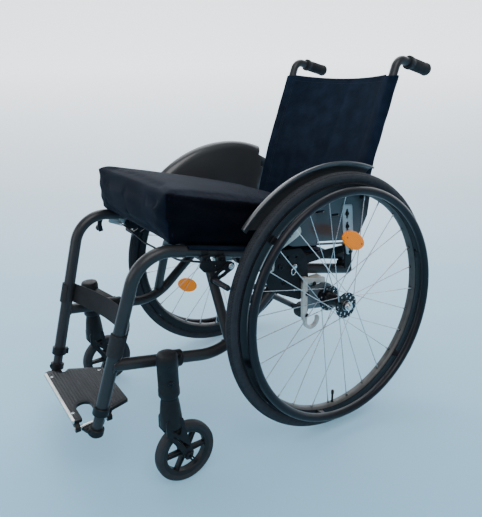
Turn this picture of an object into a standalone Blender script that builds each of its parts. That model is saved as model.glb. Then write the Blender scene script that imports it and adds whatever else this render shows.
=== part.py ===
# Active wheelchair: rigid frame, fold-down back, one-hand wheel lock, flip-up footplate.
# +X is the user's left, -Y is forward, +Z is up, the floor is at Z 0.
# Places along Y are counted from the rear axle; the datum at the end moves the whole chair
# so that the middle of its length is at Y 0.
import math
import bpy
import bmesh
from mathutils import Vector

# Clearances, and how far joined solids run into each other
GAP = 0.0003
RUN = 0.0006
LAP = 0.001

# Rear wheels
TYRE_R = 0.300
TYRE_TUBE_R = 0.0125
RIM_SEAT_DROP = 0.013
RIM_OUTER_R = TYRE_R - TYRE_TUBE_R - RIM_SEAT_DROP
RIM_DEPTH = 0.0225
RIM_INNER_R = RIM_OUTER_R - RIM_DEPTH
RIM_HALF = 0.011
WHEEL_X = 0.255
CAMBER = math.radians(2.0)
PUSH_RIM_DROP = 0.0125
PUSH_RIM_R = RIM_OUTER_R - PUSH_RIM_DROP
PUSH_RIM_TUBE_R = 0.0095
PUSH_RIM_OFFSET = 0.036
PUSH_RIM_TABS = 6
TAB_WIDTH = 0.014
SPOKES = 28
SPOKE_R = 0.0011
SPOKE_SWING = math.radians(62.0)
SPOKE_APART = 0.0026
SPOKE_HOLE_R = 0.0265
HUB_BODY_R = 0.015
HUB_FLANGE_R = 0.030
HUB_FLANGE_X = 0.0275
HUB_FLANGE_T = 0.003
HUB_END_X = 0.032
HUB_END_R = 0.012
AXLE_PIN_R = 0.0060
AXLE_PIN_LEN = 0.085
PIN_HEAD_R = 0.0105
PIN_HEAD_T = 0.006
BUTTON_R = 0.0065
BUTTON_TRAVEL = 0.004

# Frame tubes
FRONT_TUBE_R = 0.013
SEAT_TUBE_R = 0.0105
LOWER_TUBE_R = 0.0125
LEG_TUBE_R = 0.011
FOOT_TUBE_R = 0.0105
TUBE_X = 0.178
FRONT_FOOT_X = 0.149
FRONT_TUBE_END = (-0.345, 0.473)
SEAT_SLOPE = 0.23
FRONT_CORNER_Y = -0.438
FRONT_CORNER = (FRONT_CORNER_Y, FRONT_TUBE_END[1] + SEAT_SLOPE * (FRONT_TUBE_END[0] - FRONT_CORNER_Y))
FRONT_TUBE_LOW = (-0.5305, 0.177)
FRONT_BEND_R = 0.075
SEAT_TUBE_IN = 0.045
SEAT_TUBE_REAR_Y = 0.080
LOWER_FRONT = (-0.5045, 0.2655)
LOWER_CORNER = (-0.263, 0.2235)
LOWER_FRONT_X = 0.160
LOWER_BEND_R = 0.120
RAIL_CORNER = (-0.084, 0.378)
RAIL_BEND_R = 0.055
RAIL_REAR = (0.105, 0.3345)
FOOT_TUBE_DROP = 0.0635
FOOT_TUBE_IN = 0.045
CLAMP_RING_R = 0.0165
CLAMP_RING_H = 0.016
LEG_FOOT = (0.186, -0.250, 0.2420)
LEG_TOP = (0.098, -0.250, 0.414)
LEG_BEND_R = 0.040
REAR_LINK_Y = 0.084
REAR_LINK_T = 0.016
REAR_LINK_W = 0.012
POST_Y0 = 0.066
POST_Y1 = 0.082
POST_H = 0.0105
POST_T = 0.004
POST_LIFT = 0.0025
POST_TOP = 0.412

# Plates at the seat's rear
ARM_X = 0.1912
ARM_T = 0.004
ARM_HALF = 0.0085
ARM_END_R = 0.012
PLATE_T = 0.003
FOLD_Y = -0.121
FOLD_Z = 0.394
RING_Y = FOLD_Y + 0.037
RING_Z = FOLD_Z - 0.005
RING_PIN_R = 0.004
RING_PIN_TRAVEL = 0.007
RING_LOOP_R = 0.0082
RING_WIRE = 0.0024
HOLE_R = 0.0032
BOSS_R = 0.0065
BOLT_HEAD_R = 0.007

# Axle
AXLE_TUBE_R = 0.019
AXLE_TUBE_X = 0.2085
CLAMP_T = 0.009
CLAMP_RING_OUT = 0.031
CLAMP_BAR_W = 0.012
CLAMP_BAR_Y = -0.057
CLAMP_HOOK_Z = 0.226

# Back
BACK_X = 0.190
BACK_TUBE_R = 0.0105
BACK_BASE = (0.092, 0.402)
BACK_MID = (0.149, 0.603)
BACK_TOP = (0.236, 0.836)
BACK_END = (0.338, 0.8085)
BACK_MID_R = 0.150
BACK_TOP_R = 0.024
SOCKET_R = 0.0150
SOCKET_LOW = 0.004
SOCKET_LEN = 0.040
GRIP_R = 0.0150
GRIP_START = 0.012
GRIP_CAP = 0.006
FABRIC_T = 0.0035
FABRIC_LOW_Z = 0.452
FABRIC_TOP_Z = 0.797
FABRIC_SAG = 0.026

# Seat
SLING_T = 0.003
SLING_REAR_Y = 0.030
SLING_SIDE = 0.004
SLING_LOW = SEAT_TUBE_R * 1.03 + GAP
SLING_EDGE_T = 0.002
SLING_FRONT = 0.0045
CUSHION_FRONT_Y = -0.388
CUSHION_REAR_Y = 0.014
CUSHION_THICK = 0.098
CUSHION_HALF = 0.195
CUSHION_REAR_HALF = 0.1885
CUSHION_CROWN = 0.012
CUSHION_WAIST = 0.004
CUSHION_EDGE_R = 0.022

# Side guards
GUARD_X = 0.2135
GUARD_T = 0.003
GUARD_CLEARANCE = 0.0215
GUARD_R = TYRE_R + GUARD_CLEARANCE
GUARD_FLANGE_W = 0.022
GUARD_FLANGE_T = 0.004
GUARD_FLANGE_OVER = 0.008
GUARD_FRONT_ANGLE = math.radians(47.0)
GUARD_REAR_ANGLE = math.radians(24.0)
BRACKET_T = 0.003
STRIP_T = 0.003
REFLECTOR_T = 0.006
# (y, z, x) of each lens's middle and inner face in its wheel, seated on an outer spoke
REFLECTOR_SPOT = {"l": (0.035, 0.143, 0.0130), "r": (-0.116, -0.104, 0.0121)}
REFLECTOR_LONG = 0.030
REFLECTOR_SHORT = 0.019

# Casters
CASTER_X = 0.229
CASTER_Y = -0.420
CASTER_R = 0.0645
CASTER_TRAIL = 0.026
CASTER_HALF = 0.012
CASTER_RIM_R = 0.052
CASTER_HUB_R = 0.012
CASTER_BOLT_R = 0.0040
CASTER_HEAD_R = 0.0075
CASTER_SPOKES = 6
STEM_R = 0.008
HOUSING_R = 0.0215
HOUSING_LOW = 0.204
HOUSING_TOP = 0.297
HOUSING_ROOF = 0.014
FORK_T = 0.005
FORK_GAP = 0.003
FORK_CROWN_Z = 0.200
FORK_CROWN_R = 0.019
SLEEVE_Y0 = -0.410
SLEEVE_Y1 = -0.362
SLEEVE_R = 0.0175

# Footrest
PLATE_TOP = 0.138
FOOTPLATE_T = 0.008
FLIP_X = 0.109
FLIP_Z = 0.122
FLIP_PIN_R = 0.004
EAR_R = 0.0085
EAR_W = 0.010
FOOTPLATE_FRONT_Y = -0.581
EAR_FRONT_Y = FOOTPLATE_FRONT_Y + 0.003
EAR_REAR_Y = FOOTPLATE_FRONT_Y + 0.069
FOOT_SLEEVE_T = 0.005
FOOT_SLEEVE_LEN = 0.015
FLIP_SLEEVE_DROP = 0.047
REST_SLEEVE_DROP = 0.038
REST_REACH_X = -0.100
STRAP_T = 0.003
STRAP_H = 0.044
STRAP_SAG = 0.050
STRAP_Z = 0.3065

# Wheel lock
SHOE_Y = -0.294
SHOE_Z = 0.408
SHOE_R = 0.006
LOCK_Y = -0.252
LOCK_Z = 0.428
LOCK_X = 0.1990
LOCK_T = 0.004
LEVER_Y = -0.335
LEVER_Z = 0.452
LEVER_X = 0.2060
LEVER_HALF = 0.0055
LOCK_PIN_R = 0.0030
CABLE_R = 0.0025
CABLE_RUN = [
    (-0.165, LEVER_Y + 0.002, LEVER_Z - 0.008),
    (-0.080, -0.320, 0.4200),
    (0.080, -0.312, 0.4200),
    (0.160, LOCK_Y - 0.034, LOCK_Z + 0.003),
]

# Anti-tip
TIP_X = -0.150
TIP_TUBE_R = 0.009
TIP_WHEEL_R = 0.025
TIP_WHEEL_HALF = 0.010
TIP_PIN_R = 0.0030
TIP_WHEEL = (0.225, 0.067)
TIP_CORNER = (0.014, 0.212)
TIP_YOKE = (TIP_WHEEL[0] - 0.040, TIP_WHEEL[1] + 0.027)
TIP_YOKE_R = 0.0085

# Facets
TUBE_SIDES = 10
BIG_SEGMENTS = 36
SMALL_SEGMENTS = 20

AXLE_Z = TYRE_R * math.cos(CAMBER)

# Datum at the middle of the chair's length: footplate's front edge to the grips' upper rear edge
GRIP_FALL = math.atan2(BACK_TOP[1] - BACK_END[1], BACK_END[0] - BACK_TOP[0])
GRIP_REAR_Y = BACK_END[0] + GRIP_CAP * math.cos(GRIP_FALL) + (GRIP_R - 0.004) * math.sin(GRIP_FALL)
DATUM_Y = -(FOOTPLATE_FRONT_Y + GRIP_REAR_Y) / 2.0

for old in list(bpy.data.objects):
    bpy.data.objects.remove(old, do_unlink=True)

DATUM = bpy.data.objects.new("chair_datum", None)
DATUM.location = (0.0, DATUM_Y, 0.0)
bpy.context.scene.collection.objects.link(DATUM)


def make_material(name, colour, roughness, metallic=0.0):
    mat = bpy.data.materials.new(name)
    mat.use_nodes = True
    shader = mat.node_tree.nodes["Principled BSDF"]
    shader.inputs["Base Color"].default_value = (*colour, 1.0)
    shader.inputs["Roughness"].default_value = roughness
    shader.inputs["Metallic"].default_value = metallic
    return mat


ANTHRACITE = make_material("anthracite_tube", (0.045, 0.045, 0.050), 0.38, 0.6)
BLACK_METAL = make_material("black_metal", (0.020, 0.021, 0.024), 0.45, 0.3)
RAW_METAL = make_material("raw_aluminium", (0.62, 0.61, 0.58), 0.38, 0.9)
CHROME = make_material("chrome", (0.75, 0.75, 0.76), 0.15, 1.0)
RUBBER = make_material("tyre_rubber", (0.022, 0.024, 0.028), 0.75)
RIM_GREY = make_material("rim_metal", (0.30, 0.31, 0.32), 0.40, 0.7)
BLACK_PLASTIC = make_material("black_plastic", (0.018, 0.018, 0.020), 0.5)
GUARD_PLASTIC = make_material("guard_plastic", (0.060, 0.062, 0.068), 0.42)
NAVY_FABRIC = make_material("navy_fabric", (0.016, 0.020, 0.036), 0.9)
CUSHION_FABRIC = make_material("cushion_fabric", (0.022, 0.028, 0.048), 0.8)
WEBBING = make_material("webbing", (0.014, 0.014, 0.016), 0.9)
AMBER = make_material("amber_lens", (0.90, 0.36, 0.02), 0.2)


def piece(name, bm, mat, origin=(0.0, 0.0, 0.0), smooth=True, tilt=0.0):
    """Object from a closed mesh given in chair places; origin is the joint's point."""
    bmesh.ops.remove_doubles(bm, verts=bm.verts, dist=1e-6)
    bmesh.ops.recalc_face_normals(bm, faces=bm.faces)
    at = Vector(origin)
    bmesh.ops.translate(bm, verts=bm.verts, vec=-at)
    mesh = bpy.data.meshes.new(name)
    bm.to_mesh(mesh)
    bm.free()
    mesh.materials.append(mat)
    if smooth:
        mesh.shade_smooth()
        mesh.set_sharp_from_angle(angle=math.radians(35.0))
    obj = bpy.data.objects.new(name, mesh)
    bpy.context.scene.collection.objects.link(obj)
    obj.parent = DATUM
    obj.location = at
    obj.rotation_euler = (0.0, tilt, 0.0)
    return obj


def combine(obj, other, operation):
    """Keep other as a hidden guide that joins or cuts obj."""
    other.hide_render = True
    other.display_type = "WIRE"
    mod = obj.modifiers.new(operation.lower(), "BOOLEAN")
    mod.operation = operation
    mod.object = other
    mod.solver = "EXACT"
    return mod


def cut(obj, other):
    return combine(obj, other, "DIFFERENCE")


def join(obj, other):
    return combine(obj, other, "UNION")


def rounded(corners, radii, steps=5):
    """Straight runs between corners, each inner corner turned into an arc."""
    pts = [Vector(c) for c in corners]
    path = [pts[0]]
    for i in range(1, len(pts) - 1):
        a = (pts[i - 1] - pts[i]).normalized()
        b = (pts[i + 1] - pts[i]).normalized()
        half = a.angle(b) / 2.0
        radius = radii[i - 1]
        reach = radius / math.tan(half)
        centre = pts[i] + (a + b).normalized() * (radius / math.sin(half))
        start = pts[i] + a * reach - centre
        end = pts[i] + b * reach - centre
        turn = start.angle(end)
        for k in range(steps + 1):
            t = k / steps
            wa = math.sin((1.0 - t) * turn) / math.sin(turn)
            wb = math.sin(t * turn) / math.sin(turn)
            path.append(centre + start * wa + end * wb)
    path.append(pts[-1])
    return path


def sweep(path, radius, sides=TUBE_SIDES, hint=(1.0, 0.0, 0.0)):
    """Round bar along a path, capped flat at both ends."""
    bm = bmesh.new()
    side = Vector(hint)
    rings = []
    for i, point in enumerate(path):
        before = (point - path[i - 1]).normalized() if i else None
        after = (path[i + 1] - point).normalized() if i < len(path) - 1 else None
        along = ((before or after) + (after or before)).normalized()
        side = (side - along * side.dot(along)).normalized()
        up = along.cross(side)
        stretch = 1.0
        if before and after:
            stretch = 1.0 / max(0.5, along.dot(after))
        bend = (after - before) if before and after else Vector((0.0, 0.0, 0.0))
        ring = []
        for k in range(sides):
            angle = 2.0 * math.pi * k / sides
            offset = (side * math.cos(angle) + up * math.sin(angle)) * radius
            if bend.length > 1e-6:
                across = bend.normalized()
                offset += across * offset.dot(across) * (stretch - 1.0)
            ring.append(bm.verts.new(point + offset))
        rings.append(ring)
    for low, high in zip(rings, rings[1:]):
        for k in range(sides):
            n = (k + 1) % sides
            bm.faces.new((low[k], low[n], high[n], high[k]))
    bm.faces.new(rings[0])
    bm.faces.new(rings[-1])
    return bm


def frame_of(axis):
    along = Vector(axis).normalized()
    seed = Vector((0.0, 0.0, 1.0))
    if abs(along.z) > 0.9:
        seed = Vector((0.0, 1.0, 0.0))
    up = (seed - along * seed.dot(along)).normalized()
    return along, up, along.cross(up)


def turned(profile, centre, axis, segments=SMALL_SEGMENTS, closed=False):
    """Turn (radius, along) points about an axis; closed gives a ring, else flat ends."""
    along, up, side = frame_of(axis)
    middle = Vector(centre)
    bm = bmesh.new()
    rings = []
    for radius, reach in profile:
        ring = []
        for k in range(segments):
            angle = 2.0 * math.pi * k / segments
            arm = up * math.cos(angle) + side * math.sin(angle)
            ring.append(bm.verts.new(middle + along * reach + arm * radius))
        rings.append(ring)
    pairs = list(zip(rings, rings[1:]))
    if closed:
        pairs.append((rings[-1], rings[0]))
    for low, high in pairs:
        for k in range(segments):
            n = (k + 1) % segments
            bm.faces.new((low[k], low[n], high[n], high[k]))
    if not closed:
        bm.faces.new(rings[0])
        bm.faces.new(rings[-1])
    return bm


def rod(start, end, radius, sides=TUBE_SIDES):
    a = Vector(start)
    b = Vector(end)
    return turned([(radius, 0.0), (radius, (b - a).length)], a, b - a, sides)


def prism(outline, holes, lift, place):
    """Flat outline with holes, given as (a, b) pairs, thickened by lift."""
    bm = bmesh.new()
    for loop in [outline] + list(holes):
        verts = [bm.verts.new(place(a, b)) for a, b in loop]
        for k in range(len(verts)):
            bm.edges.new((verts[k], verts[(k + 1) % len(verts)]))
    bmesh.ops.triangle_fill(bm, edges=list(bm.edges), use_beauty=True, use_dissolve=False)
    made = bmesh.ops.extrude_face_region(bm, geom=list(bm.faces), use_keep_orig=True)
    moved = [g for g in made["geom"] if isinstance(g, bmesh.types.BMVert)]
    bmesh.ops.translate(bm, verts=moved, vec=Vector(lift))
    return bm


def side_plate(outline, x, thick, holes=()):
    """Plate across X with its outline in (y, z)."""
    return prism(outline, holes, (thick, 0.0, 0.0), lambda y, z: Vector((x, y, z)))


def around(a, b, offsets):
    """Outline given as offsets from one point."""
    return [(a + da, b + db) for da, db in offsets]


def circle(a, b, radius, count=12):
    turn = 2.0 * math.pi / count
    return [(a + radius * math.cos(turn * k), b + radius * math.sin(turn * k)) for k in range(count)]


def arc(a, b, radius, start, end, steps):
    """Points from angle start to angle end, both counted from +a towards +b."""
    points = []
    for k in range(steps + 1):
        angle = start + (end - start) * k / steps
        points.append((a + radius * math.cos(angle), b + radius * math.sin(angle)))
    return points


def capsule(a0, b0, r0, a1, b1, r1, steps=6):
    """Outline round two circles."""
    heading = math.atan2(b1 - b0, a1 - a0)
    lean = math.asin((r0 - r1) / math.hypot(a1 - a0, b1 - b0))
    quarter = math.pi / 2.0
    first = arc(a0, b0, r0, heading + quarter - lean, heading + 3.0 * quarter + lean, steps)
    second = arc(a1, b1, r1, heading - quarter + lean, heading + quarter - lean, steps)
    return first + second


def box(low, high):
    bm = bmesh.new()
    bmesh.ops.create_cube(bm, size=1.0)
    size = Vector(high) - Vector(low)
    bmesh.ops.scale(bm, verts=bm.verts, vec=size)
    bmesh.ops.translate(bm, verts=bm.verts, vec=(Vector(low) + Vector(high)) / 2.0)
    return bm


def span(side, a, b):
    """Box between two corners given for the left side, mirrored for the right."""
    xs = sorted((side * a[0], side * b[0]))
    return box((xs[0], a[1], a[2]), (xs[1], b[1], b[2]))


def seat_z(y):
    """Height of the seat tube's centre."""
    return FRONT_TUBE_END[1] - SEAT_SLOPE * (y - FRONT_TUBE_END[0])


def along_line(a, b, y):
    """Height at y of the line through two (y, z) points."""
    return a[1] + (b[1] - a[1]) * (y - a[0]) / (b[0] - a[0])


def front_path(side):
    corners = [
        (side * TUBE_X, *FRONT_TUBE_END),
        (side * TUBE_X, *FRONT_CORNER),
        (side * FRONT_FOOT_X, *FRONT_TUBE_LOW),
    ]
    return rounded(corners, [FRONT_BEND_R], 7)


def lower_path(side):
    corners = [
        (side * LOWER_FRONT_X, *LOWER_FRONT),
        (side * TUBE_X, *LOWER_CORNER),
        (side * TUBE_X, *RAIL_CORNER),
        (side * TUBE_X, *RAIL_REAR),
    ]
    return rounded(corners, [LOWER_BEND_R, RAIL_BEND_R], 5)


def lower_point(side, y):
    """Centre of the lower tube's front run at y."""
    share = (y - LOWER_FRONT[0]) / (LOWER_CORNER[0] - LOWER_FRONT[0])
    x = LOWER_FRONT_X + (TUBE_X - LOWER_FRONT_X) * share
    return Vector((side * x, y, along_line(LOWER_FRONT, LOWER_CORNER, y)))


def foot_direction():
    top = Vector((FRONT_FOOT_X, *FRONT_TUBE_LOW))
    bend = Vector((TUBE_X, *FRONT_CORNER))
    return (top - bend).normalized()


def foot_point(side, drop):
    """Point on the footrest tube's axis, drop below the front tube's end."""
    point = Vector((FRONT_FOOT_X, *FRONT_TUBE_LOW)) + foot_direction() * drop
    return Vector((side * point.x, point.y, point.z))


def back_path(side):
    corners = [(side * BACK_X, *p) for p in (BACK_BASE, BACK_MID, BACK_TOP, BACK_END)]
    return rounded(corners, [BACK_MID_R, BACK_TOP_R], 5)


def guide(bm):
    return piece("guide", bm, BLACK_METAL, smooth=False)


def front_tube(side, tag):
    obj = piece("front_tube_" + tag, sweep(front_path(side), FRONT_TUBE_R), ANTHRACITE)
    ring = rod(foot_point(side, -LAP), foot_point(side, CLAMP_RING_H), CLAMP_RING_R, 16)
    join(obj, guide(ring))
    low = foot_point(side, CLAMP_RING_H + 0.010)
    top = foot_point(side, -FOOT_TUBE_IN - 0.004)
    cut(obj, guide(rod(low, top, FOOT_TUBE_R + GAP)))
    cut(obj, guide(sweep(seat_path(side, SEAT_TUBE_IN + 0.004), SEAT_TUBE_R + GAP)))
    return obj


def seat_path(side, inside, past=0.0):
    """Seat tube's axis, starting inside the front tube's socket."""
    ends = (FRONT_TUBE_END[0] - inside, SEAT_TUBE_REAR_Y + past)
    return [Vector((side * TUBE_X, y, seat_z(y))) for y in ends]


def seat_tube(side, tag):
    return piece("seat_tube_" + tag, sweep(seat_path(side, SEAT_TUBE_IN), SEAT_TUBE_R), ANTHRACITE)


def lower_tube(side, tag):
    obj = piece("lower_tube_" + tag, sweep(lower_path(side), LOWER_TUBE_R), ANTHRACITE)
    rear_link(obj, side)
    cut(obj, guide(sweep(front_path(side), FRONT_TUBE_R + GAP)))
    return obj


def cross_arch():
    corners = [
        (-LEG_FOOT[0], *LEG_FOOT[1:]),
        (-LEG_TOP[0], *LEG_TOP[1:]),
        LEG_TOP,
        LEG_FOOT,
    ]
    path = rounded(corners, [LEG_BEND_R, LEG_BEND_R], 5)
    obj = piece("cross_arch", sweep(path, LEG_TUBE_R, hint=(0.0, 1.0, 0.0)), ANTHRACITE)
    for side in (-1, 1):
        cut(obj, guide(sweep(lower_path(side), LOWER_TUBE_R + GAP)))
    return obj


def rear_link(obj, side):
    """Weld the upright link at the rail's end, with the post that holds the guard's strip."""
    y = REAR_LINK_Y
    half = REAR_LINK_T / 2.0
    rail = along_line(RAIL_CORNER, RAIL_REAR, y)
    reach = GUARD_X + GUARD_T - 0.002
    level = along_line(RAIL_CORNER, RAIL_REAR, POST_Y1) + LOWER_TUBE_R + POST_LIFT
    inner = TUBE_X - REAR_LINK_W / 2.0
    parts = [((inner, y - half, rail), (TUBE_X + REAR_LINK_W / 2.0, y + half, seat_z(y) + SEAT_TUBE_R))]
    parts.append(((TUBE_X, POST_Y0, level), (reach, POST_Y1, level + POST_H)))
    parts.append(((reach - POST_T, POST_Y0 - 0.006, level), (reach, POST_Y1, POST_TOP)))
    for a, b in parts:
        join(obj, guide(span(side, a, b)))
    cut(obj, guide(sweep(seat_path(side, 0.0, GAP), SEAT_TUBE_R + GAP)))


def flip_hinge(obj):
    """Pin under the plate's near edge, held by an arm and a sleeve on the footrest tube."""
    pin_a = (FLIP_X, EAR_FRONT_Y - 0.002, FLIP_Z)
    pin_b = (FLIP_X, EAR_REAR_Y + EAR_W + 0.002, FLIP_Z)
    join(obj, guide(rod(pin_a, pin_b, FLIP_PIN_R)))
    low = foot_point(1, FLIP_SLEEVE_DROP + FOOT_SLEEVE_LEN)
    high = foot_point(1, FLIP_SLEEVE_DROP)
    sleeve = rod(low, high, FOOT_TUBE_R + FOOT_SLEEVE_T, 16)
    join(obj, guide(sleeve))
    middle = (low + high) / 2.0
    y0 = EAR_FRONT_Y + EAR_W + 0.002
    y1 = EAR_REAR_Y - 0.004
    arm = bmesh.new()
    corners = []
    for z in (FLIP_Z - 0.0085, FLIP_Z - 0.0010):
        for y in (y0, y1):
            corners.append(arm.verts.new((FLIP_X, y, z)))
        for y in (-0.010, 0.010):
            corners.append(arm.verts.new((middle.x - 0.004, middle.y + y, z)))
    bmesh.ops.convex_hull(arm, input=corners)
    join(obj, guide(arm))


def plate_rest(obj):
    """Sleeve on the far footrest tube with a ledge under the plate's edge."""
    low = foot_point(-1, REST_SLEEVE_DROP)
    high = foot_point(-1, REST_SLEEVE_DROP + FOOT_SLEEVE_LEN)
    sleeve = rod(low, high, FOOT_TUBE_R + FOOT_SLEEVE_T, 16)
    join(obj, guide(sleeve))
    top = PLATE_TOP - FOOTPLATE_T - GAP
    ledge = box((low.x + 0.004, low.y - 0.014, top - 0.007), (REST_REACH_X, low.y + 0.006, top))
    join(obj, guide(ledge))


def foot_tube(side, tag):
    top = foot_point(side, -FOOT_TUBE_IN)
    low = foot_point(side, FOOT_TUBE_DROP)
    obj = piece("footrest_tube_" + tag, rod(top, low, FOOT_TUBE_R), BLACK_METAL)
    if side > 0:
        flip_hinge(obj)
    else:
        plate_rest(obj)
    return obj


def gusset_outline():
    offsets = [
        (-0.047, -0.008),
        (-0.029, 0.042),
        (0.059, 0.033),
        (0.075, 0.010),
        (0.081, -0.042),
        (0.059, -0.094),
        (0.001, -0.066),
        (-0.029, -0.048),
    ]
    return around(FOLD_Y, FOLD_Z, offsets)


def gusset(side, tag):
    """Plate that ties the tubes together and carries the fold pivot and ring pin."""
    x = ARM_X + ARM_T + GAP
    spots = around(FOLD_Y, FOLD_Z, [(-0.003, 0.025), (0.021, 0.020), (0.045, 0.015), (0.041, -0.064)])
    holes = [circle(y, z, HOLE_R, 8) for y, z in spots]
    holes.append(circle(RING_Y, RING_Z, RING_PIN_R + GAP, 12))
    start = x if side > 0 else -x - PLATE_T
    obj = piece("gusset_" + tag, side_plate(gusset_outline(), start, PLATE_T, holes), BLACK_METAL)
    upper_y = FOLD_Y - 0.027
    lower_y = FOLD_Y + 0.009
    bosses = [(upper_y, seat_z(upper_y)), (lower_y, along_line(LOWER_CORNER, RAIL_CORNER, lower_y))]
    for y, z in bosses:
        join(obj, guide(rod((side * TUBE_X, y, z), (side * (x + LAP), y, z), BOSS_R, 8)))
    inner = ARM_X - LAP / 2.0
    bolt = [
        (RING_PIN_R, inner),
        (RING_PIN_R, x + LAP),
        (BOLT_HEAD_R, x + LAP),
        (BOLT_HEAD_R, x + PLATE_T + 0.003),
    ]
    join(obj, guide(turned(bolt, (0.0, FOLD_Y, FOLD_Z), (side, 0.0, 0.0), 12)))
    cut(obj, guide(sweep(seat_path(side, 0.0), SEAT_TUBE_R + GAP)))
    cut(obj, guide(sweep(lower_path(side), LOWER_TUBE_R + GAP)))
    return obj


def ring_pin(side, tag):
    """Sprung pin through the gusset whose nose ends flush with the arm's outer face."""
    inner = ARM_X + ARM_T + GAP
    outer = inner + PLATE_T
    nose = [(RING_PIN_R, inner), (RING_PIN_R, outer + GAP)]
    body = [(RING_PIN_R + 0.002, outer + GAP), (RING_PIN_R + 0.002, outer + RING_PIN_TRAVEL + LAP)]
    origin = (side * outer, RING_Y, RING_Z)
    bm = turned(nose + body, (0.0, RING_Y, RING_Z), (side, 0.0, 0.0), 12)
    obj = piece("ring_pin_" + tag, bm, CHROME, origin)
    half = RING_WIRE / 2.0
    loop = [
        (RING_LOOP_R - half, -half),
        (RING_LOOP_R + half, -half),
        (RING_LOOP_R + half, half),
        (RING_LOOP_R - half, half),
    ]
    centre = (side * (outer + 0.0068), RING_Y - 0.005, RING_Z - 0.0095)
    ring = turned(loop, centre, (side, 0.3, 0.0), 16, closed=True)
    join(obj, guide(ring))
    return obj


def back_arm(side, tag):
    """Bar from the fold pivot to the socket that holds the back tube."""
    hole = circle(FOLD_Y, FOLD_Z, RING_PIN_R + RUN, 12)
    outline = capsule(FOLD_Y, FOLD_Z, ARM_END_R, BACK_BASE[0], BACK_BASE[1] - 0.004, ARM_HALF)
    start = ARM_X if side > 0 else -ARM_X - ARM_T
    origin = (side * BACK_X, FOLD_Y, FOLD_Z)
    obj = piece("back_arm_" + tag, side_plate(outline, start, ARM_T, [hole]), BLACK_METAL, origin)
    base = Vector((side * BACK_X, *BACK_BASE))
    up = (Vector((side * BACK_X, *BACK_MID)) - base).normalized()
    join(obj, guide(rod(base - up * SOCKET_LOW, base + up * SOCKET_LEN, SOCKET_R, 16)))
    cut(obj, guide(rod(base - up * GAP, base + up * (SOCKET_LEN + 0.01), BACK_TUBE_R + GAP, 16)))
    return obj


def back_tube(side, tag):
    origin = (side * BACK_X, FOLD_Y, FOLD_Z)
    return piece("back_tube_" + tag, sweep(back_path(side), BACK_TUBE_R), ANTHRACITE, origin)


def push_grip(side, tag):
    """Rubber sleeve over the handle's end, closed at the rear."""
    top = Vector((side * BACK_X, *BACK_TOP))
    end = Vector((side * BACK_X, *BACK_END))
    run = (end - top).normalized()
    start = top + run * (BACK_TOP_R + GRIP_START)
    stop = end + run * GRIP_CAP
    length = (stop - start).length
    bore = BACK_TUBE_R + GAP
    deep = (end - start).length + GAP
    profile = [
        (bore, deep),
        (bore, 0.0),
        (GRIP_R, 0.0),
        (GRIP_R + 0.0015, 0.012),
        (GRIP_R - 0.001, 0.020),
        (GRIP_R, length - 0.010),
        (GRIP_R + 0.0015, length - 0.004),
        (GRIP_R - 0.004, length),
    ]
    origin = (side * BACK_X, FOLD_Y, FOLD_Z)
    return piece("push_grip_" + tag, turned(profile, start, run, 16), RUBBER, origin)


def back_line(z):
    """Place along Y of the back tubes' centre line at height z."""
    if z < BACK_MID[1]:
        a, b = BACK_BASE, BACK_MID
    else:
        a, b = BACK_MID, BACK_TOP
    return a[0] + (b[0] - a[0]) * (z - a[1]) / (b[1] - a[1])


def backrest():
    """Upholstery stretched between the back tubes, sleeved round each of them."""
    wrap = BACK_TUBE_R + GAP + FABRIC_T
    rows = 6
    cols = 8
    bm = bmesh.new()
    rings = []
    for i in range(rows + 1):
        share = i / rows
        z = FABRIC_LOW_Z + (FABRIC_TOP_Z - FABRIC_LOW_Z) * share
        y = back_line(z)
        front = []
        for k in range(1, cols):
            u = -1.0 + 2.0 * k / cols
            bow = 1.0 - u * u
            sag = FABRIC_SAG * bow * (0.55 + 0.45 * share)
            x = u * (BACK_X - wrap * 0.6)
            front.append(Vector((x, y - BACK_TUBE_R + sag, z - 0.010 * bow * share)))
        rear = [p + Vector((0.0, FABRIC_T, 0.0)) for p in reversed(front)]
        right = []
        for degrees in (-110, -60, -20, 20, 60, 110):
            a = math.radians(degrees)
            right.append(Vector((BACK_X + wrap * math.cos(a), y + wrap * math.sin(a), z)))
        left = [Vector((-p.x, p.y, p.z)) for p in reversed(right)]
        outline = front + right + rear + left
        rings.append([bm.verts.new(p) for p in outline])
    count = len(rings[0])
    for low, high in zip(rings, rings[1:]):
        for k in range(count):
            n = (k + 1) % count
            bm.faces.new((low[k], low[n], high[n], high[k]))
    bm.faces.new(rings[0])
    bm.faces.new(rings[-1])
    bmesh.ops.triangulate(bm, faces=[f for f in bm.faces if len(f.verts) > 4])
    obj = piece("backrest", bm, NAVY_FABRIC, (0.0, FOLD_Y, FOLD_Z))
    for side in (-1, 1):
        cut(obj, guide(sweep(back_path(side), BACK_TUBE_R + GAP)))
    return obj


def seat_sling():
    """Sheet laid over the seat tubes, its edges turned down outside them."""
    out = TUBE_X + SEAT_TUBE_R + GAP
    outer = out + SLING_EDGE_T
    top = SLING_LOW
    section = [
        (-outer, top - SLING_SIDE),
        (-out, top - SLING_SIDE),
        (-out, top),
        (out, top),
        (out, top - SLING_SIDE),
        (outer, top - SLING_SIDE),
        (outer, top + SLING_T),
        (-outer, top + SLING_T),
    ]
    y = FRONT_TUBE_END[0] + SLING_FRONT
    lift = (0.0, SLING_REAR_Y - y, seat_z(SLING_REAR_Y) - seat_z(y))
    bm = prism(section, [], lift, lambda x, z: Vector((x, y, seat_z(y) + z)))
    return piece("seat_sling", bm, NAVY_FABRIC, smooth=False)


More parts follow.
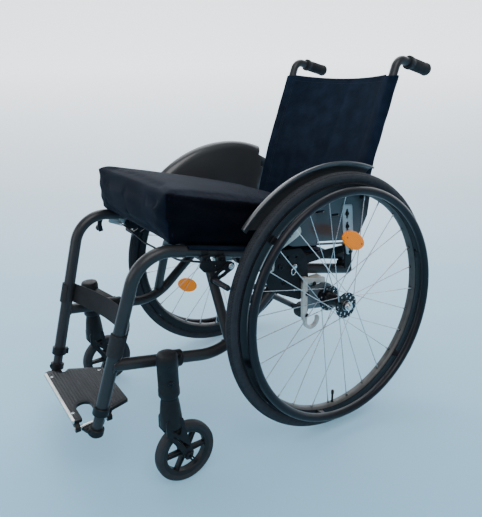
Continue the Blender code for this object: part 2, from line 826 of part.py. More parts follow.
def cushion_section(share):
    """Half width, lowest and highest z, and corner radius at a share of the length."""
    y = CUSHION_FRONT_Y + (CUSHION_REAR_Y - CUSHION_FRONT_Y) * share
    low = seat_z(y) + SLING_LOW + SLING_T + GAP
    half = CUSHION_HALF + (CUSHION_REAR_HALF - CUSHION_HALF) * min(1.0, max(0.0, (share - 0.25) / 0.3))
    return y, low, half


def cushion():
    """Foam cushion: crowned top, sides drawn in between the corners, rounded edges."""
    rows = 12
    corner = 3
    across = 8
    up = 2
    bm = bmesh.new()
    rings = []
    for i in range(rows + 1):
        share = 0.5 - 0.5 * math.cos(math.pi * i / rows)
        y, low, half = cushion_section(share)
        lip = min(share, 1.0 - share) * (CUSHION_REAR_Y - CUSHION_FRONT_Y)
        inset = 0.0
        if lip < CUSHION_EDGE_R:
            inset = CUSHION_EDGE_R - math.sqrt(CUSHION_EDGE_R**2 - (CUSHION_EDGE_R - lip) ** 2)
        bow = math.sin(math.pi * share)
        drawn = CUSHION_WAIST * bow
        wide = half - drawn - inset
        base = low + inset * 0.8
        crown = CUSHION_CROWN * bow**0.6
        top = low + CUSHION_THICK - inset
        radius = max(0.004, CUSHION_EDGE_R - inset)
        ring = []
        for k in range(across + 1):
            u = -1.0 + 2.0 * k / across
            ring.append((u * (wide - radius), base))
        for k in range(1, corner + 1):
            a = -math.pi / 2.0 + math.pi / 2.0 * k / corner
            ring.append((wide - radius + radius * math.cos(a), base + radius + radius * math.sin(a)))
        for k in range(1, up):
            ring.append((wide, base + radius + (top - base - 2.0 * radius) * k / up))
        for k in range(corner + 1):
            a = math.pi / 2.0 * k / corner
            ring.append((wide - radius + radius * math.cos(a), top - radius + radius * math.sin(a)))
        for k in range(1, across):
            u = 1.0 - 2.0 * k / across
            ring.append((u * (wide - radius), top + crown * (1.0 - u * u)))
        for k in range(corner + 1):
            a = math.pi / 2.0 + math.pi / 2.0 * k / corner
            ring.append((-wide + radius + radius * math.cos(a), top - radius + radius * math.sin(a)))
        for k in range(1, up):
            ring.append((-wide, top - radius - (top - base - 2.0 * radius) * k / up))
        for k in range(corner):
            a = math.pi + math.pi / 2.0 * k / corner
            ring.append((-wide + radius + radius * math.cos(a), base + radius + radius * math.sin(a)))
        rings.append([bm.verts.new((x, y, z)) for x, z in ring])
    count = len(rings[0])
    for a, b in zip(rings, rings[1:]):
        for k in range(count):
            n = (k + 1) % count
            bm.faces.new((a[k], a[n], b[n], b[k]))
    caps = [bm.faces.new(rings[0]), bm.faces.new(rings[-1])]
    bmesh.ops.triangulate(bm, faces=caps)
    return piece("cushion", bm, CUSHION_FABRIC)


def strip_outline():
    """Slotted strip that carries the guard's rear on the frame's post."""
    offsets = [
        (-0.039, 0.104),
        (-0.008, 0.100),
        (-0.003, 0.040),
        (0.0, -0.020),
        (-0.020, -0.022),
        (-0.036, 0.043),
    ]
    upper = [(-0.029, 0.091), (-0.020, 0.090), (-0.019, 0.068), (-0.027, 0.069)]
    lower = [(-0.027, 0.060), (-0.018, 0.059), (-0.017, 0.038), (-0.025, 0.039)]
    slots = [around(POST_Y1, POST_TOP, upper), around(POST_Y1, POST_TOP, lower)]
    return around(POST_Y1, POST_TOP, offsets), slots


def side_guard(side, tag):
    """Moulded panel inside the wheel with a flange curved over the tyre."""
    up = math.pi / 2.0
    front = up + GUARD_FRONT_ANGLE
    rear = up - GUARD_REAR_ANGLE
    steps = 12
    inner_angles = [rear + (front - rear) * k / steps for k in range(1, steps)]

    def bend(radius, over):
        angles = [rear - over] + inner_angles + [front + over]
        return [(radius * math.cos(t), AXLE_Z + radius * math.sin(t)) for t in angles]

    rim_line = bend(GUARD_R - GUARD_FLANGE_T / 2.0, 0.0)
    offsets = [
        (-0.196, 0.1862),
        (-0.100, 0.1437),
        (0.072, 0.1157),
        (0.098, 0.1282),
        (0.126, 0.1762),
        (0.136, 0.2402),
    ]
    foot = around(0.0, AXLE_Z, offsets)
    rear_slot = [(0.010, 0.1922), (0.036, 0.1907), (0.036, 0.1972), (0.010, 0.1987)]
    front_slot = [(-0.010, 0.2122), (-0.010, 0.2052), (-0.036, 0.2067), (-0.036, 0.2137)]
    slots = [around(0.0, AXLE_Z, rear_slot), around(0.0, AXLE_Z, front_slot)]
    start = GUARD_X if side > 0 else -GUARD_X - GUARD_T
    panel = side_plate(rim_line + foot, start, GUARD_T, slots)
    obj = piece("side_guard_" + tag, panel, GUARD_PLASTIC)
    x = GUARD_X + GUARD_T - LAP
    strip = strip_outline()
    strip_x = x if side > 0 else -x - STRIP_T
    join(obj, guide(side_plate(strip[0], strip_x, STRIP_T, strip[1])))
    inside = bend(GUARD_R - GUARD_FLANGE_T, GUARD_FLANGE_OVER)
    flange = inside + bend(GUARD_R, GUARD_FLANGE_OVER)[::-1]
    flange_x = GUARD_X + LAP if side > 0 else -GUARD_X - LAP - GUARD_FLANGE_W
    join(obj, guide(side_plate(flange, flange_x, GUARD_FLANGE_W)))
    return obj


def guard_bracket(side, tag):
    """Bent bracket that carries the guard's front on the frame."""
    offsets = [
        (-0.070, 0.008),
        (-0.037, 0.002),
        (-0.025, 0.046),
        (0.017, 0.063),
        (0.043, 0.076),
        (0.039, 0.096),
        (-0.011, 0.087),
        (-0.051, 0.062),
    ]
    outline = around(FOLD_Y, FOLD_Z, offsets)
    slot = around(FOLD_Y, FOLD_Z, [(-0.029, 0.068), (-0.025, 0.062), (0.021, 0.078), (0.019, 0.084)])
    x = GUARD_X + GUARD_T + GAP
    start = x if side > 0 else -x - BRACKET_T
    obj = piece("guard_bracket_" + tag, side_plate(outline, start, BRACKET_T, [slot]), RAW_METAL)
    inner = ARM_X + ARM_T + GAP + PLATE_T + GAP
    foot = around(FOLD_Y, FOLD_Z, [(-0.059, 0.007), (-0.031, 0.003), (-0.029, 0.020), (-0.053, 0.026)])
    foot_start = inner if side > 0 else -x - LAP
    join(obj, guide(side_plate(foot, foot_start, x + LAP - inner)))
    return obj


def axle_tube():
    bm = rod((-AXLE_TUBE_X, 0.0, AXLE_Z), (AXLE_TUBE_X, 0.0, AXLE_Z), AXLE_TUBE_R, 16)
    obj = piece("axle_tube", bm, BLACK_METAL)
    bore = AXLE_PIN_R + GAP
    for side in (-1, 1):
        centre = Vector(wheel_origin(side))
        deep = centre - wheel_axis(side) * (AXLE_PIN_LEN + LAP)
        cut(obj, guide(rod(deep, centre, bore, 12)))
    return obj


def wheel_axis(side):
    """Outward axle direction of a cambered wheel."""
    return Vector((side * math.cos(CAMBER), 0.0, math.sin(CAMBER)))


def axle_clamp(side, tag):
    """Cast clamp bolted under the rail: a ring round the axle tube and a hooked front bar."""
    ring_out = arc(0.0, AXLE_Z, CLAMP_RING_OUT, -math.pi / 2.0, math.pi / 2.0, 10)
    top = along_line(RAIL_CORNER, RAIL_REAR, 0.0) - 0.002
    bar = CLAMP_BAR_Y
    half = CLAMP_BAR_W / 2.0
    outline = ring_out + [
        (0.004, AXLE_Z + CLAMP_RING_OUT + 0.004),
        (0.004, top),
        (bar - half, top),
        (bar - half, 0.250),
        (bar + half + 0.004, CLAMP_HOOK_Z + 0.010),
        (bar + 0.028, CLAMP_HOOK_Z),
        (-0.010, CLAMP_HOOK_Z + 0.014),
        (0.002, CLAMP_HOOK_Z + 0.024),
        (-0.008, CLAMP_HOOK_Z + 0.026),
        (bar + 0.026, CLAMP_HOOK_Z + 0.014),
        (bar + half + 0.004, 0.252),
        (bar + half, AXLE_Z - 0.020),
        (-0.024, AXLE_Z - 0.026),
    ]
    hole = circle(0.0, AXLE_Z, (AXLE_TUBE_R + GAP) / math.cos(math.pi / 16), 16)
    x = AXLE_TUBE_X - CLAMP_T
    start = x if side > 0 else -AXLE_TUBE_X
    obj = piece("axle_clamp_" + tag, side_plate(outline, start, CLAMP_T, [hole]), RAW_METAL)
    join(obj, guide(span(side, (TUBE_X, -0.034, top - 0.026), (x + LAP, -0.002, top - LAP))))
    cut(obj, guide(sweep(lower_path(side), LOWER_TUBE_R + GAP)))
    return obj


def wheel_origin(side):
    return (side * WHEEL_X, 0.0, AXLE_Z)


def wheel_piece(name, side, bm, mat):
    """Wheel parts are modelled upright about X and leaned by the camber."""
    return piece(name, bm, mat, wheel_origin(side), tilt=-side * CAMBER)


def tyre(side, tag):
    middle = TYRE_R - TYRE_TUBE_R
    seat = RIM_OUTER_R + GAP
    profile = [
        (seat, -0.0085),
        (middle, -TYRE_TUBE_R),
        (middle + 0.0075, -0.0102),
        (TYRE_R, 0.0),
        (middle + 0.0075, 0.0102),
        (middle, TYRE_TUBE_R),
        (seat, 0.0085),
    ]
    bm = turned(profile, wheel_origin(side), (1.0, 0.0, 0.0), BIG_SEGMENTS, closed=True)
    return wheel_piece("tyre_" + tag, side, bm, RUBBER)


def rim(side, tag):
    wall = RIM_OUTER_R
    profile = [
        (RIM_INNER_R, -0.005),
        (RIM_INNER_R + 0.006, -RIM_HALF),
        (wall, -RIM_HALF),
        (wall, RIM_HALF),
        (RIM_INNER_R + 0.006, RIM_HALF),
        (RIM_INNER_R, 0.005),
    ]
    bm = turned(profile, wheel_origin(side), (1.0, 0.0, 0.0), BIG_SEGMENTS, closed=True)
    return wheel_piece("rim_" + tag, side, bm, RIM_GREY)


def hub(side, tag):
    """Turned hub with two flanges and a bore for the axle pin."""
    bore = AXLE_PIN_R + GAP
    fx = HUB_FLANGE_X
    t = HUB_FLANGE_T / 2.0
    profile = [
        (bore, -HUB_END_X),
        (HUB_END_R, -HUB_END_X),
        (HUB_END_R, -fx - t),
        (HUB_FLANGE_R, -fx - t),
        (HUB_FLANGE_R, -fx + t),
        (HUB_BODY_R, -fx + t),
        (HUB_BODY_R, fx - t),
        (HUB_FLANGE_R, fx - t),
        (HUB_FLANGE_R, fx + t),
        (HUB_END_R, fx + t),
        (HUB_END_R, HUB_END_X),
        (bore, HUB_END_X),
    ]
    centre = Vector(wheel_origin(side))
    bm = turned(profile, centre, (1.0, 0.0, 0.0), 14, closed=True)
    obj = wheel_piece("hub_spokes_" + tag, side, bm, BLACK_METAL)
    spokes = bmesh.new()
    for k in range(SPOKES):
        rim_angle = 2.0 * math.pi * (k + 0.5) / SPOKES
        flange = side if k % 2 else -side
        swing = SPOKE_SWING if (k // 2) % 2 else -SPOKE_SWING
        hub_angle = rim_angle + swing
        in_out = side * SPOKE_APART if swing > 0 else -side * SPOKE_APART
        hole = (math.cos(hub_angle) * SPOKE_HOLE_R, math.sin(hub_angle) * SPOKE_HOLE_R)
        a = Vector((flange * fx + in_out * 0.1, *hole))
        far = RIM_INNER_R * math.cos(math.pi / BIG_SEGMENTS) - GAP
        b = Vector((flange * 0.002 + in_out, math.cos(rim_angle) * far, math.sin(rim_angle) * far))
        one = rod(centre + a, centre + b, SPOKE_R, 3)
        mesh = bpy.data.meshes.new("spoke")
        one.to_mesh(mesh)
        one.free()
        spokes.from_mesh(mesh)
        bpy.data.meshes.remove(mesh)
    extra = wheel_piece("guide", side, spokes, BLACK_METAL)
    mod = join(obj, extra)
    mod.use_self = True
    return obj


def reflector(side, tag):
    """Oval lens clipped on the outer spokes."""
    centre_y, centre_z, seat_x = REFLECTOR_SPOT[tag]
    lean = math.radians(-28.0)
    reach = math.hypot(centre_y, centre_z)
    outline = []
    for k in range(20):
        a = 2.0 * math.pi * k / 20
        u = REFLECTOR_LONG * math.cos(a)
        v = REFLECTOR_SHORT * math.sin(a)
        y = centre_y + u * math.cos(lean) - v * math.sin(lean)
        z = centre_z + u * math.sin(lean) + v * math.cos(lean)
        outline.append((y, z))
    origin = Vector(wheel_origin(side))
    fall = HUB_FLANGE_X / (RIM_INNER_R - SPOKE_HOLE_R)

    def place(y, z):
        shift = (math.hypot(y, z) - reach) * fall
        return origin + Vector((side * (seat_x - shift), y, z))

    bm = prism(outline, [], (side * REFLECTOR_T, 0.0, 0.0), place)
    return wheel_piece("reflector_" + tag, side, bm, AMBER)


def push_rim(side, tag):
    """Hand ring held off the rim by tabs."""
    centre = Vector(wheel_origin(side))
    out = side * PUSH_RIM_OFFSET
    profile = []
    for k in range(6):
        a = 2.0 * math.pi * k / 6
        profile.append((PUSH_RIM_R + PUSH_RIM_TUBE_R * math.cos(a), out + PUSH_RIM_TUBE_R * math.sin(a)))
    bm = turned(profile, centre, (1.0, 0.0, 0.0), BIG_SEGMENTS, closed=True)
    obj = wheel_piece("push_rim_" + tag, side, bm, BLACK_METAL)
    for k in range(PUSH_RIM_TABS):
        angle = 2.0 * math.pi * (k + 0.25) / PUSH_RIM_TABS
        radial = Vector((0.0, math.cos(angle), math.sin(angle)))
        along = Vector((0.0, -math.sin(angle), math.cos(angle)))
        tab = bmesh.new()
        corners = []
        for reach in (side * (RIM_HALF + GAP), out):
            for r in (PUSH_RIM_R - 0.0035, PUSH_RIM_R - 0.0005):
                for w in (-0.5, 0.5):
                    spot = centre + radial * r + along * (w * TAB_WIDTH)
                    corners.append(tab.verts.new(spot + Vector((reach, 0.0, 0.0))))
        bmesh.ops.convex_hull(tab, input=corners)
        join(obj, wheel_piece("guide", side, tab, BLACK_METAL))
    return obj


def axle_pin(side, tag):
    """Quick-release pin through the hub into the axle tube, with a head outside the hub."""
    head = HUB_END_X + GAP
    profile = [
        (AXLE_PIN_R, -AXLE_PIN_LEN),
        (AXLE_PIN_R, head),
        (PIN_HEAD_R, head),
        (PIN_HEAD_R, head + PIN_HEAD_T),
        (BUTTON_R + GAP, head + PIN_HEAD_T),
        (BUTTON_R + GAP, head + LAP),
    ]
    bm = turned(profile, wheel_origin(side), (side, 0.0, 0.0), 12)
    return wheel_piece("axle_pin_" + tag, side, bm, CHROME)


def axle_button(side, tag):
    """Sprung button in the pin's head."""
    head = HUB_END_X + GAP
    start = head + LAP + BUTTON_TRAVEL + GAP
    profile = [(BUTTON_R, start), (BUTTON_R, start + 0.005), (BUTTON_R - 0.0015, start + 0.0065)]
    bm = turned(profile, wheel_origin(side), (side, 0.0, 0.0), 12)
    return wheel_piece("axle_button_" + tag, side, bm, CHROME)


def caster_housing(side, tag):
    """Casting: clamp round the lower tube, web, and upright barrel with the stem's bore."""
    centre = Vector((side * CASTER_X, CASTER_Y, 0.0))
    profile = [
        (HOUSING_R - 0.002, HOUSING_LOW),
        (HOUSING_R, HOUSING_LOW + 0.002),
        (HOUSING_R, HOUSING_TOP - 0.006),
        (HOUSING_R - 0.004, HOUSING_TOP),
    ]
    obj = piece("caster_housing_" + tag, turned(profile, centre, (0, 0, 1), 16), BLACK_METAL)
    a = lower_point(side, SLEEVE_Y0)
    b = lower_point(side, SLEEVE_Y1)
    join(obj, guide(rod(a, b, SLEEVE_R, 16)))
    mid = (a + b) / 2.0
    web = bmesh.new()
    corners = []
    for y, z in ((CASTER_Y - 0.010, 0.284), (CASTER_Y - 0.010, 0.226), (CASTER_Y + 0.010, 0.212)):
        corners.append(web.verts.new((side * (CASTER_X - 0.006), y, z)))
    corners.append(web.verts.new((side * (CASTER_X - 0.006), CASTER_Y + 0.014, 0.284)))
    for point in (a, b):
        for rise in (-0.012, 0.012):
            corners.append(web.verts.new((mid.x, point.y, point.z + rise)))
    bmesh.ops.convex_hull(web, input=corners)
    join(obj, guide(web))
    cut(obj, guide(sweep(lower_path(side), LOWER_TUBE_R + GAP)))
    low = centre + Vector((0.0, 0.0, HOUSING_LOW - 0.01))
    high = centre + Vector((0.0, 0.0, HOUSING_TOP - HOUSING_ROOF))
    cut(obj, guide(rod(low, high, (STEM_R + GAP) / math.cos(math.pi / 16), 16)))
    return obj


def caster_fork(side, tag):
    """One-piece fork: stem, crown and two windowed legs that lean back to the wheel's axle."""
    origin = (side * CASTER_X, CASTER_Y, FORK_CROWN_Z)
    centre = Vector((side * CASTER_X, CASTER_Y, 0.0))
    inner = CASTER_HALF + FORK_GAP
    outer = inner + FORK_T
    crown_low = CASTER_R * 2.0 + 0.006
    top = HOUSING_LOW - RUN
    profile = [
        (FORK_CROWN_R + 0.003, crown_low),
        (FORK_CROWN_R, top),
        (STEM_R, top),
        (STEM_R, HOUSING_TOP - HOUSING_ROOF - 0.006),
    ]
    obj = piece("caster_fork_" + tag, turned(profile, centre, (0, 0, 1), 16), BLACK_METAL, origin)
    axle_y = CASTER_Y + CASTER_TRAIL
    for leg in (-1, 1):
        outline = [
            (CASTER_Y - 0.018, crown_low + 0.020),
            (CASTER_Y - 0.020, crown_low - 0.010),
            (axle_y - 0.013, CASTER_R + 0.006),
            (axle_y - 0.009, CASTER_R - 0.011),
            (axle_y + 0.009, CASTER_R - 0.011),
            (axle_y + 0.013, CASTER_R + 0.004),
            (CASTER_Y + 0.022, crown_low - 0.004),
            (CASTER_Y + 0.018, crown_low + 0.020),
        ]
        window = [
            (CASTER_Y - 0.007, crown_low - 0.006),
            (CASTER_Y + 0.010, crown_low - 0.006),
            (CASTER_Y + 0.019, crown_low - 0.040),
            (CASTER_Y + 0.006, crown_low - 0.040),
        ]
        x = side * CASTER_X + (inner if leg > 0 else -outer)
        join(obj, guide(side_plate(outline, x, FORK_T, [window])))
    reach = outer + 0.0035
    bolt = [
        (CASTER_HEAD_R, -reach),
        (CASTER_HEAD_R, LAP - outer),
        (CASTER_BOLT_R, LAP - outer),
        (CASTER_BOLT_R, outer - LAP),
        (CASTER_HEAD_R, outer - LAP),
        (CASTER_HEAD_R, reach),
    ]
    join(obj, guide(turned(bolt, caster_centre(side), (1, 0, 0), 12)))
    return obj


def caster_centre(side):
    return Vector((side * CASTER_X, CASTER_Y + CASTER_TRAIL, CASTER_R))


def caster_wheel(side, tag):
    """Moulded wheel: bonded tyre and rim, spokes and hub."""
    centre = caster_centre(side)
    inner = CASTER_RIM_R - 0.009
    ring = [
        (inner, -0.008),
        (CASTER_RIM_R, -0.0095),
        (CASTER_R - 0.004, -CASTER_HALF),
        (CASTER_R, -0.0065),
        (CASTER_R, 0.0065),
        (CASTER_R - 0.004, CASTER_HALF),
        (CASTER_RIM_R, 0.0095),
        (inner, 0.008),
    ]
    wheel = turned(ring, centre, (1, 0, 0), SMALL_SEGMENTS, True)
    obj = piece("caster_wheel_" + tag, wheel, BLACK_PLASTIC, centre)
    half = CASTER_HALF + LAP
    bore = CASTER_BOLT_R + GAP * 2.0
    core = [(bore, -half), (CASTER_HUB_R, -half), (CASTER_HUB_R, half), (bore, half)]
    join(obj, guide(turned(core, centre, (1, 0, 0), 16, True)))
    for k in range(CASTER_SPOKES):
        angle = 2.0 * math.pi * k / CASTER_SPOKES
        radial = Vector((0.0, math.cos(angle), math.sin(angle)))
        along = Vector((0.0, -math.sin(angle), math.cos(angle)))
        arm = bmesh.new()
        corners = []
        for r, w in ((CASTER_HUB_R - 0.002, 0.0045), (inner + 0.002, 0.0025)):
            for s in (-1, 1):
                for x in (-0.005, 0.005):
                    spot = centre + radial * r + along * (s * w)
                    corners.append(arm.verts.new(spot + Vector((x, 0.0, 0.0))))
        bmesh.ops.convex_hull(arm, input=corners)
        join(obj, guide(arm))
    return obj


def footplate():
    """One-piece plate that flips up sideways about its pin, with two ears under its near edge."""
    cut_out = arc(-0.046, 0.0365, 0.0155, -math.pi / 2.0, -1.5 * math.pi, 6)
    offsets = [
        (-0.229, 0.0),
        (-0.005, 0.0),
        (-0.001, 0.021),
        *cut_out,
        (-0.009, 0.052),
        (0.0, 0.073),
        (-0.014, 0.124),
        (-0.176, 0.124),
        (-0.218, 0.054),
        (-0.207, 0.043),
        (-0.214, 0.034),
        (-0.236, 0.014),
    ]
    outline = around(FLIP_X, FOOTPLATE_FRONT_Y, offsets)
    low = PLATE_TOP - FOOTPLATE_T
    origin = (FLIP_X, 0.0, FLIP_Z)
    bm = prism(outline, [], (0.0, 0.0, FOOTPLATE_T), lambda x, y: Vector((x, y, low)))
    obj = piece("footplate", bm, BLACK_PLASTIC, origin)
    bore = circle(FLIP_X, FLIP_Z, FLIP_PIN_R + GAP, 12)
    ear = capsule(FLIP_X, FLIP_Z, EAR_R, FLIP_X - 0.022, low + 0.002, 0.0045)
    for y in (EAR_FRONT_Y, EAR_REAR_Y):
        join(obj, guide(prism(ear, [bore], (0.0, EAR_W, 0.0), lambda x, z: Vector((x, y, z)))))
    return obj


def strap_point(side, z):
    """Centre of the front tube at height z."""
    share = (FRONT_CORNER[1] - z) / (FRONT_CORNER[1] - FRONT_TUBE_LOW[1])
    y = FRONT_CORNER[0] + (FRONT_TUBE_LOW[0] - FRONT_CORNER[0]) * share
    x = TUBE_X + (FRONT_FOOT_X - TUBE_X) * share
    return Vector((side * x, y, z))


def calf_strap():
    """Webbing band square to the front tubes, wrapped round both and slack between them."""
    wrap = (FRONT_TUBE_R + GAP + STRAP_T / 2.0) / math.cos(math.radians(15.0))
    fall = (FRONT_CORNER[0] - FRONT_TUBE_LOW[0]) / (FRONT_CORNER[1] - FRONT_TUBE_LOW[1])
    turns = [math.radians(d) for d in range(150, -91, -30)]
    stations = [(1, a, 0.0) for a in turns]
    stations += [(0, 0.0, 1.0 - 2.0 * k / 10.0) for k in range(1, 10)]
    stations += [(-1, a, 0.0) for a in reversed(turns)]

    def spot(station, z, out):
        side, angle, share = station
        centre = strap_point(side or 1, z)
        reach = wrap + out
        if side:
            along = -reach * math.sin(angle)
            x = centre.x + side * reach * math.cos(angle)
        else:
            along = reach + STRAP_SAG * (1.0 - share * share)
            x = share * centre.x
        return Vector((x, centre.y + along, z - fall * along))

    bm = bmesh.new()
    rings = []
    for station in stations:
        low = STRAP_Z - STRAP_H / 2.0
        high = STRAP_Z + STRAP_H / 2.0
        half = STRAP_T / 2.0
        corners = ((low, -half), (high, -half), (high, half), (low, half))
        rings.append([bm.verts.new(spot(station, z, out)) for z, out in corners])
    for a, b in zip(rings, rings[1:]):
        for k in range(4):
            n = (k + 1) % 4
            bm.faces.new((a[k], a[n], b[n], b[k]))
    bm.faces.new(rings[0])
    bm.faces.new(rings[-1])
    return piece("calf_strap", bm, WEBBING)


def lock_bracket(side, tag):
    """Plate hung from the seat tube that carries the lock arm."""
    offsets = [
        (-0.071, 0.012),
        (-0.064, 0.024),
        (0.006, 0.008),
        (0.012, 0.0),
        (0.007, -0.010),
        (-0.060, -0.002),
    ]
    outline = around(LOCK_Y, LOCK_Z, offsets)
    x = LOCK_X - GAP - LOCK_T
    start = x if side > 0 else -x - LOCK_T
    hole = circle(LOCK_Y, LOCK_Z, LOCK_PIN_R + GAP, 10)
    obj = piece("lock_bracket_" + tag, side_plate(outline, start, LOCK_T, [hole]), BLACK_METAL)
    for y in (LOCK_Y - 0.052, LOCK_Y - 0.016):
        a = (TUBE_X - 0.006, y - 0.009, seat_z(y) - SEAT_TUBE_R - 0.008)
        b = (x + LAP, y + 0.009, seat_z(y) - 0.004)
        join(obj, guide(span(side, a, b)))
    cut(obj, guide(sweep(seat_path(side, 0.0), SEAT_TUBE_R + GAP)))
    return obj


def lock_arm(side, tag):
    """Arm that swings the shoe pin against the tyre."""
    origin = (side * LOCK_X, LOCK_Y, LOCK_Z)
    outline = capsule(LOCK_Y, LOCK_Z, 0.0095, SHOE_Y, SHOE_Z, 0.0085)
    start = LOCK_X if side > 0 else -LOCK_X - LOCK_T
    obj = piece("lock_arm_" + tag, side_plate(outline, start, LOCK_T), BLACK_METAL, origin)
    shoe_start = (side * (LOCK_X + LAP), SHOE_Y, SHOE_Z)
    shoe_end = (side * (WHEEL_X + 0.004), SHOE_Y, SHOE_Z)
    join(obj, guide(rod(shoe_start, shoe_end, SHOE_R)))
    stub = side * (LOCK_X - GAP - LOCK_T - LAP)
    join(obj, guide(rod((stub, LOCK_Y, LOCK_Z), (side * (LOCK_X + LAP), LOCK_Y, LOCK_Z), LOCK_PIN_R, 10)))
    head_a = (side * (LOCK_X + LOCK_T - LAP), LOCK_Y, LOCK_Z)
    head_b = (side * (LOCK_X + LOCK_T + 0.003), LOCK_Y, LOCK_Z)
    join(obj, guide(rod(head_a, head_b, LOCK_PIN_R * 2.0)))
    return obj


def lever_plate():
    """Bare aluminium plate on the user's right that carries the hand lever."""
    offsets = [(-0.031, 0.0), (-0.017, 0.016), (0.017, 0.010), (0.051, 0.0), (0.055, -0.016), (0.005, -0.016)]
    outline = around(LEVER_Y, LEVER_Z, offsets)
    x = LEVER_X - GAP - LOCK_T
    hole = circle(LEVER_Y, LEVER_Z, LOCK_PIN_R + GAP, 10)
    obj = piece("lever_plate", side_plate(outline, -x - LOCK_T, LOCK_T, [hole]), RAW_METAL)
    low = (-x - LAP, LEVER_Y + 0.035, LEVER_Z - 0.015)
    join(obj, guide(box(low, (-LOCK_X, LEVER_Y + 0.049, LEVER_Z - 0.003))))
    return obj


def lock_lever():
    """Curved hand lever with a knob."""
    origin = (-LEVER_X, LEVER_Y, LEVER_Z)
    bends = [(0.0, 0.0), (-0.005, 0.022), (-0.021, 0.028), (-0.038, 0.020), (-0.049, 0.0), (-0.047, -0.022)]
    spine = around(LEVER_Y, LEVER_Z, bends)
    half = LEVER_HALF
    left = []
    right = []
    for i, (y, z) in enumerate(spine):
        py, pz = spine[max(0, i - 1)]
        ny, nz = spine[min(len(spine) - 1, i + 1)]
        run = math.hypot(ny - py, nz - pz)
        nx = -(nz - pz) / run
        nn = (ny - py) / run
        left.append((y + nx * half, z + nn * half))
        right.append((y - nx * half, z - nn * half))
    outline = left + right[::-1]
    obj = piece("lock_lever", side_plate(outline, -LEVER_X - LOCK_T, LOCK_T), BLACK_METAL, origin)
    boss = rod((-LEVER_X - LOCK_T, LEVER_Y, LEVER_Z), (-LEVER_X, LEVER_Y, LEVER_Z), 0.0095, 16)
    join(obj, guide(boss))
    stub = (GAP + LOCK_T + LAP - LEVER_X, LEVER_Y, LEVER_Z)
    join(obj, guide(rod((-LEVER_X - LAP, LEVER_Y, LEVER_Z), stub, LOCK_PIN_R, 10)))
    knob = [(0.0040, 0.0), (0.0075, 0.004), (0.0085, 0.012), (0.0060, 0.017)]
    tip = (-LEVER_X - LOCK_T + LAP, LEVER_Y - 0.048, LEVER_Z - 0.015)
    join(obj, guide(turned(knob, tip, (-1, 0, 0), 14)))
    return obj


def brake_cable():
    """Cable from the lever's plate, across under the seat, to the near lock bracket."""
    gaps = LOCK_T + 2.0 * GAP
    first = (gaps - LEVER_X, *CABLE_RUN[0][1:])
    last = (LOCK_X - gaps, *CABLE_RUN[-1][1:])
    path = rounded([first, *CABLE_RUN, last], [0.030, 0.040, 0.040, 0.030], 4)
    return piece("brake_cable", sweep(path, CABLE_R, 8, hint=(0.0, 1.0, 0.0)), BLACK_PLASTIC)


def anti_tip_arm():
    """Arm clamped on the axle tube that reaches down and back to a small wheel."""
    centre = Vector((TIP_X, 0.0, AXLE_Z))
    bore = (AXLE_TUBE_R + GAP) / math.cos(math.pi / 16)
    ring = [(bore, -0.012), (AXLE_TUBE_R + 0.006, -0.012), (AXLE_TUBE_R + 0.006, 0.012), (bore, 0.012)]
    obj = piece("anti_tip_arm", turned(ring, centre, (1, 0, 0), 16, True), BLACK_METAL, centre)
    corners = [(TIP_X, 0.0, AXLE_Z - bore - 0.002), (TIP_X, *TIP_CORNER), (TIP_X, *TIP_YOKE)]
    join(obj, guide(sweep(rounded(corners, [0.030], 3), TIP_TUBE_R, 8)))
    fork = capsule(*TIP_WHEEL, TIP_YOKE_R - 0.0005, *TIP_YOKE, TIP_YOKE_R)
    hole = circle(*TIP_WHEEL, TIP_PIN_R + GAP, 10)
    inner = TIP_WHEEL_HALF + 0.0015
    for x in (-inner - PLATE_T, inner):
        join(obj, guide(side_plate(fork, TIP_X + x, PLATE_T, [hole])))
    reach = inner + PLATE_T / 2.0
    join(obj, guide(rod((TIP_X - reach, *TIP_YOKE), (TIP_X + reach, *TIP_YOKE), TIP_YOKE_R)))
    return obj


def anti_tip_wheel():
    centre = Vector((TIP_X, *TIP_WHEEL))
    half = TIP_WHEEL_HALF
    stub = half + 0.0015 + PLATE_T - GAP
    profile = [
        (TIP_PIN_R, -stub),
        (TIP_PIN_R, -half),
        (TIP_WHEEL_R - 0.003, -half),
        (TIP_WHEEL_R, 0.004 - half),
        (TIP_WHEEL_R, half - 0.004),
        (TIP_WHEEL_R - 0.003, half),
        (TIP_PIN_R, half),
        (TIP_PIN_R, stub),
    ]
    return piece("anti_tip_wheel", turned(profile, centre, (1, 0, 0), 20), RUBBER, centre)


def build():
    for side, tag in ((1, "l"), (-1, "r")):
        front_tube(side, tag)
        seat_tube(side, tag)
        lower_tube(side, tag)
        foot_tube(side, tag)
        gusset(side, tag)
        ring_pin(side, tag)
        back_arm(side, tag)
        back_tube(side, tag)
        push_grip(side, tag)
        side_guard(side, tag)
        guard_bracket(side, tag)
        reflector(side, tag)
        axle_clamp(side, tag)
        tyre(side, tag)
        rim(side, tag)
        hub(side, tag)
        push_rim(side, tag)
        axle_pin(side, tag)
        axle_button(side, tag)
        caster_housing(side, tag)
        caster_fork(side, tag)
        caster_wheel(side, tag)
        lock_bracket(side, tag)
        lock_arm(side, tag)
    cross_arch()
    axle_tube()
    backrest()
    seat_sling()
    cushion()
    footplate()
    calf_strap()
    lever_plate()
    lock_lever()
    brake_cable()
    anti_tip_arm()
    anti_tip_wheel()
    for obj in bpy.data.objects:
        if obj.modifiers and not obj.hide_render:
            weld = obj.modifiers.new("weld", "WELD")
            weld.merge_threshold = 0.00002


build()
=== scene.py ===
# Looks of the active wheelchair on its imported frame.
# +X is the user's left, -Y is forward. Places along Y are counted from the rear axle, as in the
# part's source, and every mesh is moved by DATUM_Y when it is made.
from math import asin, atan, atan2, cos, exp, hypot, pi, radians, sin, sqrt, tan, tau

import bmesh
import bpy
import numpy as np
from mathutils import Matrix, Vector, noise


